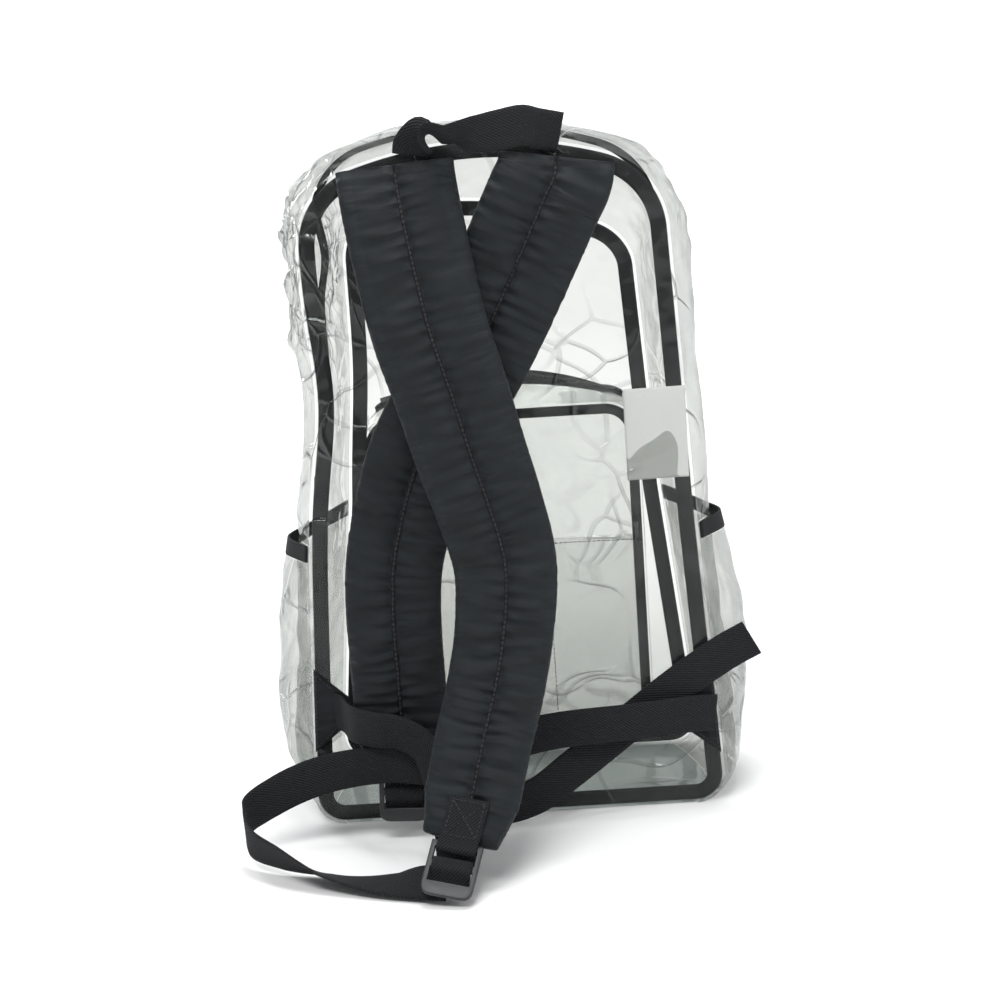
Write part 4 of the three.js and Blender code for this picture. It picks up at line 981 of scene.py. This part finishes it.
def smooth_route(points, blades, count):
    curve = Curve(points)
    stations = []
    for k in range(count + 1):
        t = k / count
        place = t * (len(points) - 1)
        row = min(int(place), len(points) - 2)
        blade = blades[row] + (blades[row + 1] - blades[row]) * (place - row)
        tangent = curve.tangent(t)
        blade = blade - tangent * np.dot(blade, tangent)
        blade = blade / np.linalg.norm(blade)
        stations.append((curve.at(t), blade, np.cross(tangent, blade), t))
    return stations


def unit(v):
    return v / np.linalg.norm(v)


RIBBON_COLUMNS = 11
SELVEDGE = 0.47


def ribbon(name, stations, material, slot, nodes, width=WEB_WIDTH, thick=WEB_THICK, wave=0.25):
    """Webbing with soft selvedges, from stations of (point, blade, normal, t)."""
    shares = np.linspace(-0.5, 0.5, RIBBON_COLUMNS)
    half = [0.5 if abs(share) < SELVEDGE else 0.3 for share in shares]
    profile = list(zip(shares, half)) + [(share, -up) for share, up in zip(shares[::-1], half[::-1])]
    rows = []
    for point, blade, normal, _ in stations:
        line = []
        for across, up in profile:
            lift = wave * noise.noise(Vector((point + blade * across * width) * 0.03))
            line.append(point + blade * across * width + normal * (up * thick + lift))
        rows.append(line)
    points = np.array(rows)
    piece = build_mesh(name, points, tape_uv(points), material, True, True)
    return mount_piece(piece, slot, *nodes)


def strap_stations(route, count):
    return smooth_route([route_point(r) for r in route], [np.array([1.0, 0, 0])] * len(route), count)


PAD_TOP = [
    (-0.5, 0.08), (-0.485, 0.2), (-0.455, 0.34), (-0.4, 0.41), (-0.32, 0.47), (-0.22, 0.5), (-0.13, 0.48),
    (-0.07, 0.43), (-0.03, 0.35), (0, 0.22), (0.03, 0.35), (0.07, 0.43), (0.13, 0.48), (0.22, 0.5),
    (0.32, 0.47), (0.4, 0.41), (0.455, 0.34), (0.485, 0.2), (0.5, 0.08)]


def pad_height(across):
    return np.interp(across, [p[0] for p in PAD_TOP], [p[1] for p in PAD_TOP])


STRAP_ROWS, STRAP_COLUMNS = 230, len(PAD_TOP)


def strap_width(route, t):
    place = t * (len(route) - 1)
    row = min(int(place), len(route) - 2)
    return STRAP_WIDTH * (route[row][3] + (route[row + 1][3] - route[row][3]) * (place - row))


def pucker(along, across, seed):
    """Small gathers that run out from the middle stitching and in from the edges, in millimetres."""
    near = math.exp(-abs(across) / 11.0) * min(abs(across) / 3.0, 1)
    rim = math.exp(-(STRAP_WIDTH * 0.46 - abs(across)) / 7.0)
    hand = 3 if across > 0 else 0
    q = Vector((along / 6.2, across / 38.0 + hand, seed))
    ripple = 0.55 - 2.4 * abs(noise.noise(q)) + 0.4 * noise.noise(q * 2.3)
    edge_ripple = 0.5 - 2.2 * abs(noise.noise(Vector((along / 8.5, hand, seed + 9))))
    long_fold = noise.noise(Vector((along / 26.0 + across / 60.0, across / 50.0, seed + 5)))
    return 3.4 * near * ripple + 2.1 * rim * edge_ripple + 1.8 * long_fold


def padded_strap(name, route, seed):
    stations = strap_stations(route, STRAP_ROWS)
    columns = np.array([p[0] for p in PAD_TOP])
    rows, along = [], 0.0
    places = []
    before = stations[0][0]
    for point, blade, normal, t in stations:
        along += np.linalg.norm(point - before)
        before = point
        width = strap_width(route, t)
        thick = STRAP_THICK * (SEWN + (1 - SEWN) * float(smoothstep((t - 0.01) / SEWN_END)))
        line = []
        for sign in (1, -1):
            for across in (columns if sign > 0 else columns[::-1]):
                tail = float(smoothstep((1 - t) / 0.02)) * 0.25 + 0.75
                up = pad_height(across) * thick * 0.9 * tail
                gather = pucker(along, across * width, seed + sign) * (0.4 + 0.6 * tail)
                line.append(point + blade * across * width + normal * sign * (up + gather * 0.6))
        rows.append(line)
        places.append([(across * width, along) for across in (*columns, *columns[::-1])])
    points = np.array(rows)
    piece = build_mesh(name, points, np.array(places), STRAP_CLOTH, True, True)
    return piece, points, stations


def puffed(piece, pins, cap):
    """A stuffed piece as simulated cloth: pinned at its stitching, swollen by pressure, its motion capped."""
    mesh = piece.data
    rest = np.zeros(len(mesh.vertices) * 3)
    mesh.vertices.foreach_get("co", rest)
    rest = rest.reshape(-1, 3)
    group = piece.vertex_groups.new(name="sewn")
    for index, weight in pins:
        group.add([index], weight, "REPLACE")
    cloth = piece.modifiers.new("cloth", "CLOTH")
    settings = cloth.settings
    settings.quality = 6
    settings.mass = 0.25
    settings.tension_stiffness = 22
    settings.compression_stiffness = 22
    settings.shear_stiffness = 8
    settings.bending_stiffness = 0.15
    settings.vertex_group_mass = "sewn"
    settings.use_pressure = True
    settings.uniform_pressure_force = 4.0
    settings.shrink_min = -0.05
    settings.effector_weights.gravity = 0.0
    cloth.collision_settings.use_collision = False
    for number in range(1, 21):
        scene.frame_set(number)
    evaluated = piece.evaluated_get(bpy.context.evaluated_depsgraph_get())
    moved = np.zeros(len(mesh.vertices) * 3)
    evaluated.data.vertices.foreach_get("co", moved)
    shift = moved.reshape(-1, 3) - rest
    length = np.linalg.norm(shift, axis=1, keepdims=True)
    shift *= np.minimum(1, cap * MM / np.maximum(length, 1e-9))
    piece.modifiers.remove(cloth)
    mesh.vertices.foreach_set("co", (rest + shift).ravel())
    mesh.update()
    scene.frame_set(1)
    return rest + shift


def strap_pins(rows, columns):
    """The middle stitching on both faces, the two edges and both ends."""
    pins = []
    middle = columns // 2
    for row in range(rows):
        for column in range(2 * columns):
            inside = column if column < columns else 2 * columns - 1 - column
            weight = 0.0
            if inside == middle:
                weight = 1.0
            elif inside in (0, columns - 1):
                weight = 0.9
            if row < 2 or row >= rows - 2:
                weight = 1.0
            if weight:
                pins.append((row * 2 * columns + column, weight))
    return pins


def finish_strap(name, route, node, seed):
    piece, points, stations = padded_strap(name, route, seed)
    rows = len(stations)
    places = puffed(piece, strap_pins(rows, STRAP_COLUMNS), 2.6) * 1000
    points = places.reshape(rows, 2 * STRAP_COLUMNS, 3)
    smooth = piece.modifiers.new("smooth", "SUBSURF")
    smooth.levels = smooth.render_levels = 1
    mount_piece(piece, "strap_fabric", node)
    runs = []
    middle = STRAP_COLUMNS // 2
    for face_column, sign in ((middle, 1), (2 * STRAP_COLUMNS - 1 - middle, -1)):
        line = (4 * points[:, face_column] + points[:, face_column - 1] + points[:, face_column + 1]) / 6
        centres, wanted, lengths = resampled(line, 3.3)
        ways = frames_along(centres)
        normals = np.array([s[2] * sign for s in stations])
        for k, centre in enumerate(centres):
            if wanted[k] < 8:
                continue
            out = unit(np.array([np.interp(wanted[k], lengths, normals[:, i]) for i in range(3)]))
            runs.append((centre + out * 0.15, ways[k], out))
    mount_piece(stitches(f"{name}_stitches", runs, 2.7, 0.55), "strap_fabric")
    return stations


def lock_frame(route, tilt):
    stations = strap_stations(route, 26)
    end = stations[-1][0]
    down = unit(unit(end - stations[-3][0]) + np.array([0, -tilt, 0]))
    across = unit(np.array([1.0, 0, 0]) - down * down[0])
    out = unit(np.cross(across, down))
    if out[1] > 0:
        out = -out
    origin = end + down * LOCK_DROP + out * LOCK_FORWARD
    return {"origin": origin, "down": down, "across": across, "out": out}


SLOT = LOCK_HEIGHT / 4
BESIDE = LOCK_THICK / 2 + WEB_THICK / 2 + 2 * GAP
LOCK_MIDDLE = 1.5 * LOCK_BAR + SLOT
# bar, slot, out
APPROACH = [(0, -0.7, -5.3), (0, -0.7, -2.1)]
THREADING = [
    (0, -0.55, -0.27), (-0.7, 0, 0.84), (0, 0, 1), (0.7, 0, 0.84),
    (0, 0.7, -0.27), (0, 1.15, -1), (0, 1.7, -1)]
LOOSE_START = (0, 0.9, -1.65)


def lock_place(lock, down, out):
    return lock["origin"] + lock["down"] * down + lock["out"] * out


def thread_place(lock, row):
    return lock_place(lock, LOCK_MIDDLE + row[0] * LOCK_BAR + row[1] * SLOT, row[2] * BESIDE)


def stations_through(path, blade, fine=4):
    curve = Curve(path)
    count = (len(path) - 1) * fine
    stations = []
    for k in range(count + 1):
        t = k / count
        tangent = curve.tangent(t)
        stations.append((curve.at(t), blade, unit(np.cross(tangent, blade)), t))
    return stations


def strap_tab(word, route, lock):
    offset = STRAP_THICK / 2 + WEB_THICK / 2 + 3 * GAP
    path = []
    for point, _, normal, _ in strap_stations(route, 26)[-3:]:
        path.append(point + normal * np.sign(np.dot(normal, lock["out"])) * offset)
    turn_middle = LOCK_BAR - WEB_THICK / 2
    for angle in range(0, 181, 30):
        radians = math.radians(angle)
        path.append(lock_place(lock, turn_middle + BESIDE * math.sin(radians), BESIDE * math.cos(radians)))
    path.append(lock_place(lock, 0, -BESIDE))
    stations = stations_through(path, lock["across"])
    ribbon(f"{word}_tab_webbing", stations, WEBBING_CLOTH, "webbing", [f"{word}_strap_tab"], wave=0.05)
    front = [s for s in stations if s[3] < 2.3 / (len(path) - 1)]
    box_stitch(f"{word}_tab_stitches", front, lock["out"])


def box_stitch(name, stations, out):
    """A sewn box with its cross, on the front of the tab."""
    line = np.array([s[0] for s in stations])
    across = stations[0][1]
    lengths = np.concatenate([[0], np.cumsum(np.linalg.norm(np.diff(line, axis=0), axis=1))])
    total = lengths[-1]
    half = WEB_WIDTH / 2 - 2.5
    corners = [(2.5, -half), (total - 3, -half), (total - 3, half), (2.5, half)]
    legs = list(zip(corners, corners[1:] + corners[:1])) + [corners[0::2], corners[1::2]]
    runs = []
    for (a, b), (c, d) in legs:
        length = math.hypot(c - a, d - b)
        count = max(int(length / 2.8), 1)
        for k in range(count):
            t = (k + 0.5) / count
            s, w = a + (c - a) * t, b + (d - b) * t
            centre = np.array([np.interp(s, lengths, line[:, i]) for i in range(3)])
            near = np.array([np.interp(min(s + 1, total), lengths, line[:, i]) for i in range(3)])
            far = np.array([np.interp(max(s - 1, 0), lengths, line[:, i]) for i in range(3)])
            way = unit(unit(near - far) * (c - a) + across * (d - b))
            runs.append((centre + across * w + out * (WEB_THICK / 2 + 0.1), way, out))
    mount_piece(stitches(name, runs, 2.2, 0.34), "webbing")


def webbing(word, run, tail, side, lock):
    approach = [thread_place(lock, row) for row in APPROACH]
    threaded = [thread_place(lock, row) for row in THREADING]
    across = lock["across"]
    blades = [blade_of(r) for r in run] + [across] * len(approach)
    before = smooth_route([route_point(r) for r in run] + approach, blades, 140)
    inside = stations_through(threaded, across, 6)
    ribbon(f"{word}_run_webbing", before + inside, WEBBING_CLOTH, "webbing", [f"{word}_webbing"], wave=0.0)
    points = [thread_place(lock, LOOSE_START)] + [route_point(r) for r in tail]
    blades = [-side * lock["down"]] + [blade_of(r) for r in tail]
    stations = smooth_route(points, blades, 220)
    ribbon(f"{word}_tail_webbing", stations, WEBBING_CLOTH, "webbing", [f"{word}_webbing_end"], wave=0.1)
    return stations


def dressed_lock(word):
    """The moulded ladder lock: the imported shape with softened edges."""
    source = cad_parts[f"{word}_ladder_lock"]
    piece = bpy.data.objects.new(f"{word}_lock_body", source.data.copy())
    scene.collection.objects.link(piece)
    piece.data.materials.clear()
    piece.data.materials.append(PLASTIC)
    weld = piece.modifiers.new("weld", "WELD")
    weld.merge_threshold = 0.00001
    flat = piece.modifiers.new("flat", "DECIMATE")
    flat.decimate_type = "DISSOLVE"
    flat.angle_limit = math.radians(2)
    soft = piece.modifiers.new("soft", "BEVEL")
    soft.width = 0.0007
    soft.segments = 3
    soft.limit_method = "ANGLE"
    soft.angle_limit = math.radians(40)
    piece.data.shade_smooth()
    mount_piece(piece, "black_plastic", f"{word}_ladder_lock")


straps = (
    ("left", -1, LEFT_STRAP, LEFT_RUN, LEFT_TAIL, 0.35),
    ("right", 1, RIGHT_STRAP, RIGHT_RUN, RIGHT_TAIL, 0.05))
for number, (word, side, route, run, tail, tilt) in enumerate(straps):
    lock = lock_frame(route, tilt)
    finish_strap(f"{word}_pad", route, f"{word}_strap", 11.0 + 7 * number)
    strap_tab(word, route, lock)
    webbing(word, run, tail, side, lock)
    dressed_lock(word)

handle = smooth_route([route_point(r) for r in HANDLE], [blade_of(r) for r in HANDLE], 120)
ribbon("handle_webbing", handle, WEBBING_CLOTH, "webbing", ["grab_handle"], wave=0.1)


def seam_half(height):
    t = (height - BAND) / (FOOT - BAND)
    return wall_row([BAND_STOP + (FOOT_START - BAND_STOP) * t], 0.0)[0, 0]


def sewn_patch(name, corners, thick, material, slot, node, rows=16, columns=16):
    """A flat piece on the back panel from four corners (x, z), with soft edges."""
    a, b, c, d = (np.array(p, float) for p in corners)
    s, t = np.meshgrid(np.linspace(0, 1, columns), np.linspace(0, 1, rows))
    flat = (a * (1 - s[..., None]) + b * s[..., None]) * (1 - t[..., None]) + (
        d * (1 - s[..., None]) + c * s[..., None]) * t[..., None]
    x, z = flat[..., 0], flat[..., 1]
    from_edge = np.minimum(np.minimum(s, 1 - s) * columns, np.minimum(t, 1 - t) * rows)
    rim = smoothstep(from_edge / 1.4)
    ripple = np.array([[0.35 * noise.noise(Vector((p, q, 3.0)) * 0.07) for p, q in zip(r1, r2)]
                       for r1, r2 in zip(x, z)])
    front = back_face(x, z) - GAP - thick * (0.45 + 0.55 * rim) + ripple * rim * 0.5
    back = back_face(x, z) - GAP
    outer = np.stack([x, front, z], -1)
    inner = np.stack([x, back, z], -1)
    points = np.concatenate([outer, inner[:, ::-1]], axis=1)
    piece = build_mesh(name, points, tape_uv(points), material, True, True)
    fix_ring_uv(piece)
    return mount_piece(piece, slot, node)


def patch_stitches(name, corners, lift, pitch=2.8):
    runs = []
    points = [np.array(p, float) for p in corners]
    for p, q in zip(points, points[1:] + points[:1]):
        length = np.linalg.norm(q - p)
        count = max(int(length / pitch), 1)
        way = (q - p) / length
        for k in range(count):
            x, z = p + (q - p) * (k + 0.5) / count
            centre = np.array([x, back_face(x, z) - GAP - lift, z])
            runs.append((centre, np.array([way[0], 0, way[1]]), np.array([0, -1.0, 0])))
    mount_piece(stitches(name, runs, 2.1, 0.3), "webbing")


def inner_corners(corners, inset):
    middle = np.mean(np.array(corners, float), axis=0)
    return [tuple(np.array(p) + unit(middle - np.array(p)) * inset) for p in corners]


for word, side, run in (("left", -1, LEFT_RUN), ("right", 1, RIGHT_RUN)):
    z0 = run[0][2] * BAG_HEIGHT
    high, low = z0 + TAB_HEIGHT / 2, z0 - TAB_HEIGHT / 2
    seam_high, seam_low = side * (seam_half(high) - VINYL), side * (seam_half(low) - VINYL)
    point = side * (seam_half(z0) - VINYL) - side * TAB_REACH
    corners = [(seam_high, high), (seam_low, low), (point, z0 - WEB_WIDTH / 3), (point, z0 + WEB_WIDTH / 3)]
    sewn_patch(f"{word}_corner_patch", corners, TAB_THICK, STRAP_CLOTH, "webbing", f"{word}_corner_tab")
    patch_stitches(f"{word}_corner_stitches", inner_corners(corners, 4.0), TAB_THICK + 0.05)

label_right = wall_row([(BAND_STOP + CORNER_END) / 2], 0.0)[0, 0]
label_low = 0.5 * BAG_HEIGHT
label_left, label_high = label_right - LABEL_WIDTH, label_low + LABEL_HEIGHT
label_corners = [
    (label_left, label_low), (label_right, label_low), (label_right, label_high), (label_left, label_high)]
sewn_patch("label_cloth_piece", label_corners, LABEL_THICK, LABEL_CLOTH, "label_fabric", "care_label", 40, 30)

for node in ("main_zipper_slider", "front_pocket_slider"):
    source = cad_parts[node]
    source.data.materials.clear()
    source.data.materials.append(PLASTIC)


def sweep():
    """A pale floor that curves up into a backdrop."""
    g = Graph("studio_paper")
    away = g.vector("LENGTH", g.place)["Value"]
    g.put(g.shader, {
        "Base Color": g.mix(g.noise(g.place, 3.0, 2.0), (0.9, 0.9, 0.9), (0.93, 0.93, 0.93)),
        "Roughness": 0.9, "Specular IOR Level": 0.1, "Emission Color": (1, 1, 1, 1),
        "Emission Strength": g.ramp(away, 0.3, 1.5, 0.0, 0.55, "LINEAR")})
    rows = []
    radius, back = 900.0, 1500.0
    profile = [(y, 0.0) for y in np.linspace(-3500, back, 12)]
    profile += [(back + radius * math.sin(a), radius - radius * math.cos(a)) for a in
                np.linspace(0, math.pi / 2, 14)[1:]]
    profile += [(back + radius, z) for z in np.linspace(radius, 4200, 6)[1:]]
    for y, z in profile:
        rows.append([(x, y, z) for x in np.linspace(-3500, 3500, 10)])
    points = np.array(rows)
    piece = build_mesh("studio_floor", points, grid_lengths(points), g.material)
    piece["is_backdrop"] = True


def area_light(name, place, target, width, height, power, colour=(1, 1, 1)):
    data = bpy.data.lights.new(name, "AREA")
    data.shape = "RECTANGLE"
    data.size, data.size_y = width, height
    data.energy = power
    data.color = colour
    lamp = bpy.data.objects.new(name, data)
    lamp.location = place
    lamp.rotation_euler = (Vector(target) - Vector(place)).to_track_quat("-Z", "Y").to_euler()
    scene.collection.objects.link(lamp)


def lights():
    world = bpy.data.worlds.new("studio")
    world.use_nodes = True
    background = world.node_tree.nodes["Background"]
    background.inputs[0].default_value = (0.95, 0.96, 1.0, 1)
    background.inputs[1].default_value = 0.3
    scene.world = world
    area_light("key", (-0.35, -1.1, 1.7), (0, 0, 0.2), 1.2, 0.5, 22)
    area_light("fill", (1.4, -1.0, 1.0), (0, 0, 0.2), 0.25, 1.1, 9)
    area_light("top", (0.1, 0.1, 1.9), (0, 0, 0.2), 0.7, 0.5, 17)
    area_light("rim", (-0.9, 1.1, 0.9), (0, 0, 0.25), 0.2, 0.9, 8)


sweep()
lights()
scene.view_settings.view_transform = "Standard"
scene.view_settings.look = "None"

low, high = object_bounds()
